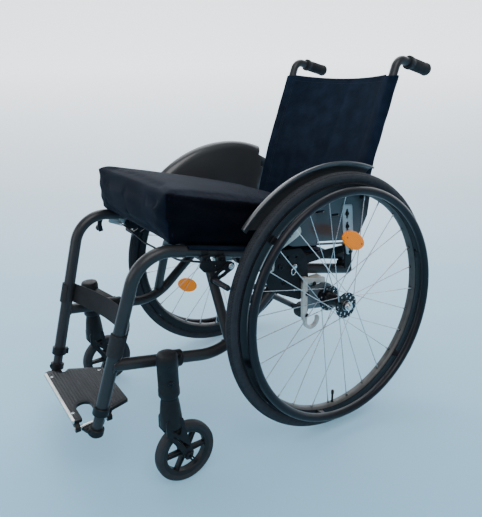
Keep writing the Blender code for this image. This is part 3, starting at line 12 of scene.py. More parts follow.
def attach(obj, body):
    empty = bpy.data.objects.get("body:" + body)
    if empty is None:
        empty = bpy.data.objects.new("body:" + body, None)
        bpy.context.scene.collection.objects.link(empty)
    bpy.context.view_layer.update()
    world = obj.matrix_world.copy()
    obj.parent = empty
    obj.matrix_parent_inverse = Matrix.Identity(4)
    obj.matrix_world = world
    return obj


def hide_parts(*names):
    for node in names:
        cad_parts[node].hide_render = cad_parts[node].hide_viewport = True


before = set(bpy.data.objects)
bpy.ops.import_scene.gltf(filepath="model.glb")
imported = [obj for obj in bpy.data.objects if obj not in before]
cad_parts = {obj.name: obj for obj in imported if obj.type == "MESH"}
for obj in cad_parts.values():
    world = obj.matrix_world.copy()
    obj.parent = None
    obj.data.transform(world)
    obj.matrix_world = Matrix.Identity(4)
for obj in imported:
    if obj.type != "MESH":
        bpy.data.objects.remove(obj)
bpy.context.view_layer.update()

# Places and sizes shared with the part's source
DATUM_Y = 0.117172
GAP = 0.0003
TYRE_R = 0.3
TYRE_TUBE_R = 0.0125
RIM_OUTER_R = 0.2745
RIM_INNER_R = 0.252
RIM_HALF = 0.011
WHEEL_X = 0.255
CAMBER = radians(2.0)
AXLE_Z = TYRE_R * cos(CAMBER)
PUSH_RIM_R = 0.262
PUSH_RIM_TUBE_R = 0.0095
PUSH_RIM_OFFSET = 0.036
SPOKES = 28
SPOKE_HOLE_R = 0.0265
HUB_FLANGE_R = 0.03
HUB_FLANGE_X = 0.0275
HUB_END_X = 0.032
FRONT_TUBE_R = 0.013
SEAT_TUBE_R = 0.0105
LOWER_TUBE_R = 0.0125
LEG_TUBE_R = 0.011
FOOT_TUBE_R = 0.0105
TUBE_X = 0.178
FRONT_FOOT_X = 0.149
FRONT_TUBE_END = (-0.345, 0.473)
SEAT_SLOPE = 0.23
FRONT_CORNER = (-0.438, FRONT_TUBE_END[1] + SEAT_SLOPE * 0.093)
FRONT_TUBE_LOW = (-0.5305, 0.177)
LOWER_FRONT = (-0.5045, 0.2655)
LOWER_CORNER = (-0.263, 0.2235)
LOWER_FRONT_X = 0.16
RAIL_CORNER = (-0.084, 0.378)
RAIL_REAR = (0.105, 0.3345)
LEG_Y = -0.25
LEG_FOOT = (0.186, LEG_Y, 0.242)
LEG_TOP = (0.098, LEG_Y, 0.414)
ARM_X = 0.1912
ARM_T = 0.004
PLATE_T = 0.003
FOLD = (-0.121, 0.394)
RING = (-0.084, 0.389)
AXLE_TUBE_X = 0.2085
BACK_X = 0.19
BACK_TUBE_R = 0.0105
BACK_BASE = (0.092, 0.402)
BACK_MID = (0.149, 0.603)
BACK_TOP = (0.236, 0.836)
BACK_END = (0.338, 0.8085)
FABRIC_LOW_Z = 0.452
FABRIC_TOP_Z = 0.797
FABRIC_SAG = 0.026
GUARD_X = 0.2135
CASTER_X = 0.229
CASTER_Y = -0.42
CASTER_R = 0.0645
CASTER_TRAIL = 0.026
HOUSING_LOW = 0.204
HOUSING_TOP = 0.297
PLATE_LOW = 0.138 - 0.008
FLIP_X = 0.109
FLIP_Z = 0.122
PLATE_FRONT_Y = -0.581
STRAP_Z = 0.3065
LOCK = (-0.252, 0.428)
LOCK_X = 0.199
LOCK_T = 0.004
SHOE = (-0.294, 0.408)
LEVER = (-0.335, 0.452)
LEVER_X = 0.206
TIP_X = -0.15
TIP_WHEEL = (0.225, 0.067)

# Sizes of the looks alone. The solids' spokes lean 62 degrees round the hub; this keeps the holes apart.
SPOKE_SWING = radians(360.0 / 7.0)
SMOOTH = 24
SEAT_TOP = SEAT_TUBE_R * 1.03
SKIN_HALF = 0.0011
STITCH_R = 0.00042

# The photograph's camera, solved from the wheels and the frame
CAMERA_AZIMUTH = radians(56.07)
CAMERA_ELEVATION = radians(15.89)
CAMERA_ROLL = radians(-1.187)
CAMERA_DISTANCE = 1.379
CAMERA_TARGET = (0.0, -0.063, 0.443)
FOCAL_PX = 542.85
CENTRE_PX = (10.13, -36.02)
PHOTO_WIDE = 482
SENSOR_MM = 36.0

# Shine of the surfaces away from the edges
PLAIN_SHINE = 0.5
CLOTH_SHINE = 0.05
DARK_SHINE = 0.22
DARK_LIMIT = 0.05

X = Vector((1.0, 0.0, 0.0))
Y = Vector((0.0, 1.0, 0.0))
Z = Vector((0.0, 0.0, 1.0))


class Graph:
    """A Principled material and short ways to add nodes to it."""

    def __init__(self, name, colour, roughness, metallic=0.0, coat=0.0, sheen=0.0, shine=PLAIN_SHINE):
        self.mat = bpy.data.materials.new(name)
        self.mat.use_nodes = True
        self.tree = self.mat.node_tree
        self.shader = self.tree.nodes["Principled BSDF"]
        self.coords = self.tree.nodes.new("ShaderNodeTexCoord")
        values = {"Base Color": (*colour, 1.0), "Roughness": roughness, "Metallic": metallic,
                  "Coat Weight": coat, "Coat Roughness": 0.18, "Sheen Weight": sheen,
                  "Sheen Roughness": 0.5, "Specular IOR Level": shine}
        for key, value in values.items():
            self.shade(key, value)

    def feed(self, socket, value):
        if isinstance(value, bpy.types.NodeSocket):
            self.tree.links.new(value, socket)
        else:
            socket.default_value = value

    def shade(self, key, value):
        self.feed(self.shader.inputs[key], value)

    def node(self, kind, **inputs):
        made = self.tree.nodes.new("ShaderNode" + kind)
        for key, value in inputs.items():
            self.feed(made.inputs[key.replace("_", " ")], value)
        return made

    def noise(self, scale, detail=3.0, rough=0.5, vector=None):
        vector = vector or self.coords.outputs["Object"]
        made = self.node("TexNoise", Vector=vector, Scale=scale, Detail=detail, Roughness=rough)
        return made.outputs["Fac"]

    def math(self, operation, a, b=0.0):
        made = self.node("Math")
        made.operation = operation
        self.feed(made.inputs[0], a)
        self.feed(made.inputs[1], b)
        return made.outputs[0]

    def plus(self, a, b):
        return self.math("ADD", a, b)

    def times(self, a, b):
        return self.math("MULTIPLY", a, b)

    def spread(self, value, low, high, from_low=0.3, from_high=0.7):
        limits = {"From_Min": from_low, "From_Max": from_high, "To_Min": low, "To_Max": high}
        return self.node("MapRange", Value=value, **limits).outputs["Result"]

    def tint(self, value, dark, light):
        """Base colour between two colours by value."""
        made = self.node("Mix")
        made.data_type = "RGBA"
        for key, given in ((0, value), (6, (*dark, 1.0)), (7, (*light, 1.0))):
            self.feed(made.inputs[key], given)
        self.shade("Base Color", made.outputs[2])
        return made.outputs[2]

    def bump(self, height, strength, distance):
        made = self.node("Bump", Strength=strength, Distance=distance, Height=height)
        self.shade("Normal", made.outputs["Normal"])

    def split(self, source):
        made = self.node("SeparateXYZ")
        self.feed(made.inputs[0], self.coords.outputs[source])
        return made.outputs[0], made.outputs[1], made.outputs[2]

    def wave(self, value, pitch):
        """Sine of a length in metres, 0 to 1, one cycle in pitch."""
        return self.plus(self.times(self.math("SINE", self.times(value, tau / pitch)), 0.5), 0.5)

    def crossed(self, u, v, pitch):
        """Waves along the two diagonals."""
        return self.wave(self.plus(u, v), pitch), self.wave(self.math("SUBTRACT", u, v), pitch)


def scaled(colour, factor):
    return tuple(min(1.0, c * factor) for c in colour)


def coated(
    name, colour, roughness, metallic=0.0, coat=0.0, grain=900.0, depth=0.00004, vary=0.12, gloss=0.18
):
    """Moulded, painted or cast surface: patchy tone and gloss over a fine grain."""
    shine = DARK_SHINE if max(colour) < DARK_LIMIT else PLAIN_SHINE
    g = Graph(name, colour, roughness, metallic, coat, shine=shine)
    patches = g.spread(g.noise(38.0, 4.0), 0.0, 1.0)
    g.tint(patches, scaled(colour, 1.0 - vary), scaled(colour, 1.0 + vary))
    g.shade("Roughness", g.spread(g.noise(95.0), roughness * (1.0 - gloss), roughness * (1.0 + gloss)))
    g.bump(g.noise(grain, 2.0), 0.5, depth)
    return g.mat


def woven(name, dark, light, pitch, sheen, depth):
    """Cloth whose threads cross at 45 degrees to the piece's own UV, which is in metres."""
    g = Graph(name, dark, 0.86, sheen=sheen, shine=CLOTH_SHINE)
    u, v, _ = g.split("UV")
    over = g.math("MAXIMUM", *g.crossed(u, v, pitch))
    thread = g.times(over, g.spread(g.noise(30.0, 5.0), 0.7, 1.15))
    g.tint(g.spread(thread, 0.0, 1.0, 0.35, 1.1), dark, light)
    g.bump(thread, 0.8, depth)
    return g.mat


def knitted(name, dark, light, pitch, sheen, depth):
    """Stretch cover: fine ribs by place, the stitch crowns painted lighter as a sheen, over random tone."""
    g = Graph(name, dark, 0.74, sheen=sheen, shine=CLOTH_SHINE)
    x, y, z = g.split("Object")
    rib = g.wave(g.plus(x, g.times(z, 0.6)), pitch)
    course = g.wave(g.plus(y, g.times(z, 0.8)), pitch * 1.3)
    stitch = g.times(rib, course)
    # Stitch crowns are tinted lighter than the hollows: a painted sheen, mixed with random tone.
    tone = g.plus(g.times(stitch, 0.35), g.times(g.noise(16.0, 5.0), 0.65))
    g.tint(g.spread(tone, 0.0, 1.0, 0.3, 0.85), dark, light)
    g.bump(stitch, 0.6, depth)
    return g.mat


def banded(name, dark, light, pitch, roughness, depth):
    """Ribs across the second axis of the piece's UV."""
    g = Graph(name, dark, roughness)
    ribs = g.wave(g.split("UV")[1], pitch)
    g.tint(g.spread(g.times(ribs, g.spread(g.noise(60.0), 0.7, 1.2)), 0.0, 1.0, 0.1, 0.9), dark, light)
    g.bump(ribs, 0.8, depth)
    return g.mat


def brushed(name, colour, roughness, metallic=0.95):
    """Bare metal with fine drawn lines and faint stains."""
    g = Graph(name, colour, roughness, metallic)
    stretch = g.node("Mapping", Vector=g.coords.outputs["Object"], Scale=(1.0, 1.0, 14.0))
    lines = g.noise(220.0, 3.0, 0.6, stretch.outputs["Vector"])
    g.tint(g.spread(g.noise(45.0, 4.0), 0.0, 1.0), scaled(colour, 0.78), scaled(colour, 1.12))
    g.shade("Roughness", g.spread(lines, roughness * 0.7, roughness * 1.4))
    g.bump(lines, 0.35, 0.00005)
    return g.mat


def tread_rubber():
    """Tyre: ribs of small blocks on the crown, plain sidewalls, pale dust in the grooves."""
    g = Graph("tyre_rubber", (0.012, 0.014, 0.018), 0.72, shine=0.32)
    u, v, _ = g.split("UV")
    off = g.math("ABSOLUTE", v)
    across = g.wave(v, 0.0034)
    slant = g.wave(g.plus(u, g.times(off, 0.9)), 0.0062)
    blocks = g.times(g.spread(across, 0.0, 1.0, 0.25, 0.5), g.spread(slant, 0.0, 1.0, 0.25, 0.5))
    height = g.times(blocks, g.spread(off, 1.0, 0.0, 0.0085, 0.01))
    tone = g.plus(g.times(height, 0.5), g.times(g.noise(70.0, 4.0), 0.5))
    g.tint(g.spread(tone, 0.0, 1.0, 0.15, 0.85), (0.022, 0.025, 0.032), (0.0075, 0.009, 0.0125))
    g.shade("Roughness", g.spread(g.noise(120.0), 0.6, 0.82))
    g.bump(height, 1.0, 0.0009)
    return g.mat


def prism_lens():
    """Amber reflector: small square prisms under a clear face, with a faint orange glow of painted light."""
    g = Graph("amber_lens", (0.9, 0.22, 0.0), 0.3, shine=0.3)
    # The orange emission is painted light: a glow standing in for the light the reflector sends back.
    values = {"Emission Color": (1.0, 0.3, 0.0, 1.0), "Emission Strength": 0.35, "Subsurface Weight": 0.25,
              "Subsurface Scale": 0.004}
    for key, value in values.items():
        g.shade(key, value)
    _, y, z = g.split("Object")
    cells = g.times(*g.crossed(y, z, 0.0052))
    g.tint(g.spread(cells, 0.0, 1.0, 0.0, 0.7), (0.55, 0.08, 0.0), (0.95, 0.34, 0.0))
    g.bump(cells, 0.9, 0.0006)
    return g.mat


TUBE = coated("anthracite_tube", (0.032, 0.033, 0.036), 0.36, 0.3, 0.12, 1400.0, 0.00002, 0.06, 0.06)
BLACK = coated("satin_black_metal", (0.009, 0.01, 0.013), 0.42, 0.15, 0.04, 1100.0, 0.00003)
BLACK_CAST = coated("black_casting", (0.009, 0.01, 0.012), 0.5, 0.1, 0.0, 620.0, 0.00009)
RING_BLACK = coated("push_ring_black", (0.008, 0.009, 0.013), 0.36, 0.15, 0.08, 1500.0, 0.00001)
ALLOY = brushed("bare_aluminium", (0.56, 0.56, 0.55), 0.38)
CAST_ALLOY = coated("cast_aluminium", (0.56, 0.55, 0.51), 0.5, 0.35, 0.0, 700.0, 0.0001, 0.2)
CHROME = coated("chrome", (0.72, 0.73, 0.75), 0.16, 1.0, 0.0, 300.0, 0.00001, 0.05)
STEEL = brushed("spoke_steel", (0.66, 0.68, 0.7), 0.27)
RIM_DARK = coated("rim_outside", (0.009, 0.01, 0.013), 0.36, 0.2, 0.06, 1300.0, 0.00001)
RIM_PALE = brushed("rim_inside", (0.085, 0.085, 0.085), 0.48, 0.4)
HUB_BLACK = coated("hub_black", (0.012, 0.013, 0.016), 0.3, 0.5, 0.3, 1200.0, 0.00001)
TYRE = tread_rubber()
GRIP = coated("grip_rubber", (0.013, 0.014, 0.017), 0.62, 0.0, 0.0, 800.0, 0.00014)
CASTER_TYRE = coated("caster_tyre", (0.026, 0.028, 0.032), 0.66, 0.0, 0.0, 500.0, 0.00006)
PLASTIC = coated("black_plastic", (0.013, 0.014, 0.016), 0.44, 0.0, 0.0, 700.0, 0.00008)
GUARD = coated("guard_plastic", (0.046, 0.049, 0.054), 0.3, 0.25, 0.22, 900.0, 0.000002, 0.02, 0.02)
STRIP = coated("grey_strip", (0.42, 0.43, 0.44), 0.42, 0.7)
SLEEVE = coated("blue_grey_sleeve", (0.11, 0.14, 0.155), 0.4, 0.3, 0.2)
BACK_CLOTH = woven("back_cloth", (0.0014, 0.0034, 0.0085), (0.012, 0.023, 0.046), 0.005, 0.01, 0.0007)
COVER = knitted("cushion_cover", (0.0024, 0.0046, 0.0105), (0.0075, 0.0135, 0.029), 0.0016, 0.01, 0.00025)
SIDE_COVER = knitted("cushion_side", (0.0008, 0.0014, 0.0034), (0.0022, 0.0036, 0.008), 0.0018, 0.0, 0.0002)
THREAD = coated("dark_thread", (0.02, 0.026, 0.04), 0.8, 0.0, 0.0, 2000.0, 0.00002)
WEBBING = banded("webbing", (0.006, 0.0065, 0.008), (0.019, 0.02, 0.024), 0.0024, 0.85, 0.0006)
PLATE_TREAD = banded("footplate_tread", (0.006, 0.007, 0.01), (0.017, 0.02, 0.026), 0.0062, 0.62, 0.0011)
LENS = prism_lens()
# Near-black for the discs on the rim's bed at the spoke holes: painted shade for the holes' dark insides.
HOLE_SHADE = coated("painted_hole_shade", (0.004, 0.004, 0.005), 0.9)


# Mesh helpers


def finish(name, parts, mats, body="frame", covers="", tag="", angle=32.0, turn=None):
    """One piece of a mesh, or of parts, given in chair places; it rides on body and stands for covers."""
    bm = merge(parts) if isinstance(parts, list) else parts
    bmesh.ops.recalc_face_normals(bm, faces=bm.faces)
    if turn is not None:
        bmesh.ops.transform(bm, verts=bm.verts, matrix=turn)
    bmesh.ops.translate(bm, verts=bm.verts, vec=(0.0, DATUM_Y, 0.0))
    mesh = bpy.data.meshes.new(name + tag)
    bm.to_mesh(mesh)
    bm.free()
    for mat in mats:
        mesh.materials.append(mat)
    mesh.shade_smooth()
    mesh.set_sharp_from_angle(angle=radians(angle))
    obj = bpy.data.objects.new(name + tag, mesh)
    bpy.context.scene.collection.objects.link(obj)
    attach(obj, body + tag if body.endswith("_") else body)
    if covers:
        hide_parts(covers + tag)
    return obj


def merge(parts):
    """One mesh from several; each part is a bmesh, or (bmesh, material index)."""
    whole = bmesh.new()
    for entry in parts:
        part, index = entry if isinstance(entry, tuple) else (entry, 0)
        if index:
            for face in part.faces:
                face.material_index = index
        mesh = bpy.data.meshes.new("part")
        part.to_mesh(mesh)
        part.free()
        whole.from_mesh(mesh)
        bpy.data.meshes.remove(mesh)
    return whole


def polar(radius, angle):
    return radius * cos(angle), radius * sin(angle)


def spin(angle):
    """Unit arm in the wheel's plane."""
    return Vector((0.0, cos(angle), sin(angle)))


def at(side, x, y, z):
    """Place given for the left side, mirrored for the right."""
    return Vector((side * x, y, z))


def around(a, b, offsets):
    return [(a + da, b + db) for da, db in offsets]


def mirrored(half, middle=()):
    """Profile of (radius, along) points that runs back on the other side of the middle."""
    return [*half, *middle, *((r, -x) for r, x in reversed(half))]


def corner_arc(point, before, after, radius, steps, limit=None):
    """Points of the arc that rounds a corner; limit keeps it to a share of the two runs."""
    a, b = before - point, after - point
    half = a.angle(b) / 2.0
    reach = radius / tan(half)
    if limit:
        reach = min(reach, a.length * limit, b.length * limit)
    a.normalize()
    b.normalize()
    centre = point + (a + b).normalized() * (reach * tan(half) / sin(half))
    start, end = point + a * reach - centre, point + b * reach - centre
    turn = start.angle(end)
    shares = [k / steps for k in range(steps + 1)]
    weights = [(sin((1.0 - t) * turn) / sin(turn), sin(t * turn) / sin(turn)) for t in shares]
    return [centre + start * p + end * q for p, q in weights]


def rounded(corners, radii, steps=12):
    """Straight runs between corners, each inner corner turned into an arc."""
    pts = [Vector(c) for c in corners]
    path = [pts[0]]
    for i, radius in enumerate(radii, 1):
        path += corner_arc(pts[i], pts[i - 1], pts[i + 1], radius, steps)
    return path + [pts[-1]]


def soften(outline, radius, steps=4):
    """Round the corners of a flat outline."""
    pts = [Vector(p) for p in outline]
    out = []
    for i, p in enumerate(pts):
        before, after = pts[i - 1], pts[(i + 1) % len(pts)]
        if (before - p).angle(after - p) / 2.0 > radians(86.0):
            out.append(tuple(p))
        else:
            out += [tuple(q) for q in corner_arc(p, before, after, radius, steps, 0.45)]
    return out


def arc(a, b, radius, start, end, steps):
    angles = [start + (end - start) * k / steps for k in range(steps + 1)]
    return [(a + radius * cos(t), b + radius * sin(t)) for t in angles]


def circle(a, b, radius, count=24):
    return arc(a, b, radius, 0.0, tau, count)[:-1]


def capsule(a0, b0, r0, a1, b1, r1, steps=12):
    """Outline round two circles."""
    heading = atan2(b1 - b0, a1 - a0)
    open_half = pi / 2.0 - asin((r0 - r1) / hypot(a1 - a0, b1 - b0))
    first = arc(a0, b0, r0, heading + open_half, heading + tau - open_half, steps)
    return first + arc(a1, b1, r1, heading - open_half, heading + open_half, steps)


def skin(bm, low, high):
    """Faces between two rings of vertices."""
    for k in range(len(low)):
        n = (k + 1) % len(low)
        bm.faces.new((low[k], low[n], high[n], high[k]))


def skinned(rings, closed=False):
    """Mesh over rings of places, and its rings of vertices; closed joins the last ring to the first."""
    bm = bmesh.new()
    loops = [[bm.verts.new(p) for p in ring] for ring in rings]
    for low, high in zip(loops, loops[1:] + loops[:1] if closed else loops[1:]):
        skin(bm, low, high)
    return bm, loops


def loft(rings):
    """Closed form over rings of places, with flat ends."""
    bm, loops = skinned(rings)
    bm.faces.new(loops[0])
    bm.faces.new(loops[-1])
    return bm


def sweep(path, radius, sides=28, hint=X, closed=False, cap=0.0012):
    """Round bar along a path; radius is a number or one for each point. Ends are softly capped."""
    radii = radius if isinstance(radius, list) else [radius] * len(path)
    side = Vector(hint)
    turns = [tau * k / sides for k in range(sides)]
    rings = []
    runs = []
    for i, point in enumerate(path):
        before = path[i - 1] if i or closed else point
        after = path[(i + 1) % len(path)] if i < len(path) - 1 or closed else point
        along = (after - before).normalized()
        side = (side - along * side.dot(along)).normalized()
        up = along.cross(side)
        rings.append([point + (side * cos(t) + up * sin(t)) * radii[i] for t in turns])
        runs.append(along)
    bm, loops = skinned(rings, closed)
    for end, sign in () if closed else ((0, -1.0), (-1, 1.0)):
        lip = min(cap, radii[end] * 0.5)
        out = runs[end] * (sign * lip * 0.6)
        share = 1.0 - lip / radii[end]
        edge = [bm.verts.new(path[end] + (p - path[end]) * share + out) for p in rings[end]]
        skin(bm, loops[end], edge)
        bm.faces.new(edge)
    return bm


def frame_of(axis):
    along = Vector(axis).normalized()
    seed = Y if abs(along.z) > 0.9 else Z
    up = (seed - along * seed.dot(along)).normalized()
    return along, up, along.cross(up)


def turned(profile, centre, axis, segments=48, closed=False, uv=False, marks=None):
    """Turn (radius, along) points about an axis; marks gives a material index for each profile run."""
    along, up, side = frame_of(axis)
    arms = [up * cos(tau * k / segments) + side * sin(tau * k / segments) for k in range(segments)]
    middle = Vector(centre)
    rings = [[middle + along * reach + arm * radius for arm in arms] for radius, reach in profile]
    bm, loops = skinned(rings, closed)
    if marks or uv:
        layer = bm.loops.layers.uv.new("UVMap") if uv else None
        step = tau * max(r for r, _ in profile) / segments
        for index, face in enumerate(bm.faces):
            row, k = divmod(index, segments)
            if marks:
                face.material_index = marks[row]
            if layer:
                low, high = profile[row][1], profile[(row + 1) % len(profile)][1]
                for loop, (a, b) in zip(face.loops, ((k, low), (k + 1, low), (k + 1, high), (k, high))):
                    loop[layer].uv = (a * step, b)
    if not closed:
        bm.faces.new(loops[0])
        bm.faces.new(loops[-1])
    return bm


def rod(start, end, radius, sides=24, lip=0.0006):
    """Straight bar with softened ends."""
    a, b = Vector(start), Vector(end)
    length = (b - a).length
    lip = min(lip, radius * 0.4, length * 0.3)
    profile = [(radius - lip, 0.0), (radius, lip), (radius, length - lip), (radius - lip, length)]
    return turned(profile, a, b - a, sides)


def bolt(centre, axis, radius, height, washer=0.0, flats=SMOOTH):
    """Socket-head bolt, or hexagon bolt of six flats, standing on centre along axis."""
    base = Vector(centre)
    along = Vector(axis).normalized()
    parts = []
    if washer:
        parts.append(turned([(radius * 1.35, 0.0), (radius * 1.35, washer)], base, along, 32))
        base = base + along * washer
    head = [(radius, 0.0), (radius, height * 0.75), (radius * 0.86, height)]
    if flats == SMOOTH:
        inner = radius * 0.52
        head = [(radius, 0.0), (radius, height * 0.8), (radius * 0.9, height)]
        head += [(inner, height), (inner, height * 0.35)]
    return merge(parts + [turned(head, base, along, flats)])


def side_bolt(side, x, y, z, radius, height, washer=0.0):
    return bolt(at(side, x, y, z), X * side, radius, height, washer)


def bevel(bm, width, segments=2, angle=38.0):
    """Round the sharp edges of a mesh."""
    bmesh.ops.recalc_face_normals(bm, faces=bm.faces)
    sharp = [e for e in bm.edges if len(e.link_faces) == 2 and e.calc_face_angle(0.0) > radians(angle)]
    bmesh.ops.bevel(
        bm, geom=sharp, offset=width, segments=segments, profile=0.6, affect="EDGES", clamp_overlap=True
    )


def prism(outline, holes, lift, place, edge=0.0005):
    """Flat outline with holes, thickened by lift, its rim rounded."""
    bm = bmesh.new()
    loops = [[bm.verts.new(place(a, b)) for a, b in loop] for loop in [outline, *holes]]
    if holes:
        for verts in loops:
            for k, vert in enumerate(verts):
                bm.edges.new((vert, verts[(k + 1) % len(verts)]))
        bmesh.ops.triangle_fill(bm, edges=list(bm.edges), use_beauty=True, use_dissolve=False)
    else:
        bm.faces.new(loops[0])
    made = bmesh.ops.extrude_face_region(bm, geom=list(bm.faces), use_keep_orig=True)
    moved = [g for g in made["geom"] if isinstance(g, bmesh.types.BMVert)]
    bmesh.ops.translate(bm, verts=moved, vec=Vector(lift))
    bevel(bm, edge)
    return bm


def side_plate(side, x, thick, outline, holes=(), edge=0.0005):
    """Plate with its outline in (y, z) that lies from x outwards on its side."""
    low = x if side > 0 else -x - thick
    return prism(outline, holes, X * thick, lambda y, z: Vector((low, y, z)), edge)


def flat_plate(outline, z, thick, edge):
    """Level plate with its outline in (x, y)."""
    return prism(outline, (), Z * thick, lambda x, y: Vector((x, y, z)), edge)


def block(low, high, edge=0.001):
    """Box with rounded edges."""
    bm = bmesh.new()
    bmesh.ops.create_cube(bm, size=1.0)
    bmesh.ops.scale(bm, verts=bm.verts, vec=Vector(high) - Vector(low))
    bmesh.ops.translate(bm, verts=bm.verts, vec=(Vector(low) + Vector(high)) / 2.0)
    bmesh.ops.recalc_face_normals(bm, faces=bm.faces)
    bmesh.ops.bevel(bm, geom=list(bm.edges), offset=edge, segments=3, profile=0.6, affect="EDGES")
    return bm


def span(side, a, b, edge=0.001):
    """Box between two corners given for the left side, mirrored for the right."""
    xs = sorted((side * a[0], side * b[0]))
    return block((xs[0], a[1], a[2]), (xs[1], b[1], b[2]), edge)


def hull(points, edge=0.0015):
    bm = bmesh.new()
    bmesh.ops.convex_hull(bm, input=[bm.verts.new(p) for p in points])
    bmesh.ops.delete(bm, geom=[v for v in bm.verts if not v.link_faces], context="VERTS")
    bmesh.ops.dissolve_limit(bm, angle_limit=0.02, verts=bm.verts, edges=bm.edges)
    bevel(bm, edge, 3, 20.0)
    return bm


def weld(foot, run, radius, main_a, main_b, main_r, bead=0.002):
    """Ripple of weld metal where a branch tube meets a main tube."""
    along, up, side = frame_of(run)
    axis = (Vector(main_b) - Vector(main_a)).normalized()
    path = []
    count = 56
    for k in range(count):
        angle = tau * k / count
        start = Vector(foot) + (up * cos(angle) + side * sin(angle)) * radius
        low, high = 0.0, 0.12
        for _ in range(22):
            mid = (low + high) / 2.0
            arm = start + along * mid - Vector(main_a)
            away = (arm - axis * arm.dot(axis)).length
            low, high = (mid, high) if away < main_r else (low, mid)
        path.append(start + along * high)
    sizes = [bead * (1.0 + 0.1 * sin(tau * k * 14 / count)) for k in range(count)]
    return sweep(path, sizes, 10, up, True)


def two_skins(spot, columns, rows, outs, runs, height):
    """Thin cloth: spot(column, share up, out) places it, runs and height are its UV in metres."""
    bm = bmesh.new()
    layer = bm.loops.layers.uv.verify()
    shares = [j / rows for j in range(rows + 1)]
    skins = [[[bm.verts.new(spot(c, v, out)) for v in shares] for c in columns] for out in outs]
    last = len(columns) - 1

    def quad(*corners):
        face = bm.faces.new([skins[s][i][j] for s, i, j in corners])
        for loop, (_, i, j) in zip(face.loops, corners):
            loop[layer].uv = (runs[i], j / rows * height)

    for i in range(last):
        for j in range(rows):
            for s in (0, 1):
                quad((s, i, j), (s, i + 1, j), (s, i + 1, j + 1), (s, i, j + 1))
    for i in range(last):
        for j in (0, rows):
            quad((0, i, j), (0, i + 1, j), (1, i + 1, j), (1, i, j))
    for i in (0, last):
        for j in range(rows):
            quad((0, i, j), (0, i, j + 1), (1, i, j + 1), (1, i, j))
    return bm


def lengths(points):
    """Length from the first point to each."""
    runs = [0.0]
    for a, b in zip(points, points[1:]):
        runs.append(runs[-1] + (b - a).length)
    return runs


def stitch(spots, radius=STITCH_R, hint=X):
    return sweep(spots, radius, 6, hint, cap=0.0002)


def seat_z(y):
    return FRONT_TUBE_END[1] - SEAT_SLOPE * (y - FRONT_TUBE_END[0])


def along_line(a, b, y):
    return a[1] + (b[1] - a[1]) * (y - a[0]) / (b[0] - a[0])


def rail_z(y):
    return along_line(RAIL_CORNER, RAIL_REAR, y)


# Rear wheels


def wheel_point(side):
    return at(side, WHEEL_X, 0.0, AXLE_Z)


def on_wheel(name, parts, mats, side, tag, covers="", body="wheel_", angle=32.0):
    """Finish an upright piece of a wheel, leant by the camber about the wheel's own centre."""
    centre = wheel_point(side)
    lean = Matrix.Translation(centre) @ Matrix.Rotation(-side * CAMBER, 4, "Y") @ Matrix.Translation(-centre)
    finish(name, parts, mats, body, covers, tag, angle, lean)


def tyre(side, tag):
    middle = TYRE_R - TYRE_TUBE_R
    seat = RIM_OUTER_R + GAP
    swells = {24: -0.0006, 48: -0.0006, 96: 0.0003, 102: 0.0003}
    profile = [(seat, -0.0084)]
    for degrees in range(-138, 139, 6):
        a, b = polar(TYRE_TUBE_R + swells.get(abs(degrees), 0.0), radians(degrees))
        profile.append((middle + a, b * 0.99))
    profile.append((seat, 0.0084))
    bm = turned(profile, wheel_point(side), X, 200, closed=True, uv=True)
    on_wheel("tyre_cover_", bm, [TYRE], side, tag, "tyre_", angle=60.0)


def spoke_angles(k):
    """Where a spoke meets the rim and the hub, and whether it leans forwards."""
    rim_angle = tau * (k + 0.5) / SPOKES
    forward = bool((k // 2) % 2)
    return rim_angle, rim_angle + (SPOKE_SWING if forward else -SPOKE_SWING), forward


def rim(side, tag):
    """Box-section rim with braking walls, pale bed, spoke holes shown as near-black discs of painted shade,
    and a valve.
    """
    wall, low = RIM_OUTER_R, RIM_INNER_R
    profile = mirrored([
        (low, -0.0045), (low + 0.0012, -0.0072), (low + 0.0052, -0.0106), (low + 0.007, -0.011),
        (low + 0.0076, -0.0106), (wall - 0.002, -0.0106), (wall - 0.001, -0.011), (wall, -0.0106),
    ])
    marks = [1, 1] + [0] * 11 + [1, 1, 1]
    centre = wheel_point(side)
    parts = [turned(profile, centre, X, 168, closed=True, marks=marks)]
    for k in range(SPOKES):
        radial = spin(spoke_angles(k)[0])
        spot = centre + radial * (low - 0.0001) + X * ((1 if k % 2 else -1) * side * 0.002)
        # A thin near-black disc on the bed at each spoke hole: painted shade standing for the hole's dark
        # inside.
        parts.append((turned([(0.003, 0.0), (0.003, 0.0004)], spot, -radial, 14), 2))
    on_wheel("rim_hoop_", parts, [RIM_DARK, RIM_PALE, HOLE_SHADE], side, tag, "rim_", angle=30.0)
    radial = spin(radians(-94.0))
    stem = [(0.0042, 0.0), (0.0042, 0.002), (0.0026, 0.0024), (0.0026, 0.02), (0.0034, 0.0204),
            (0.0036, 0.029), (0.0024, 0.031)]
    on_wheel("valve_", turned(stem, centre + radial * (low + 0.001), -radial, 20), [BLACK], side, tag)


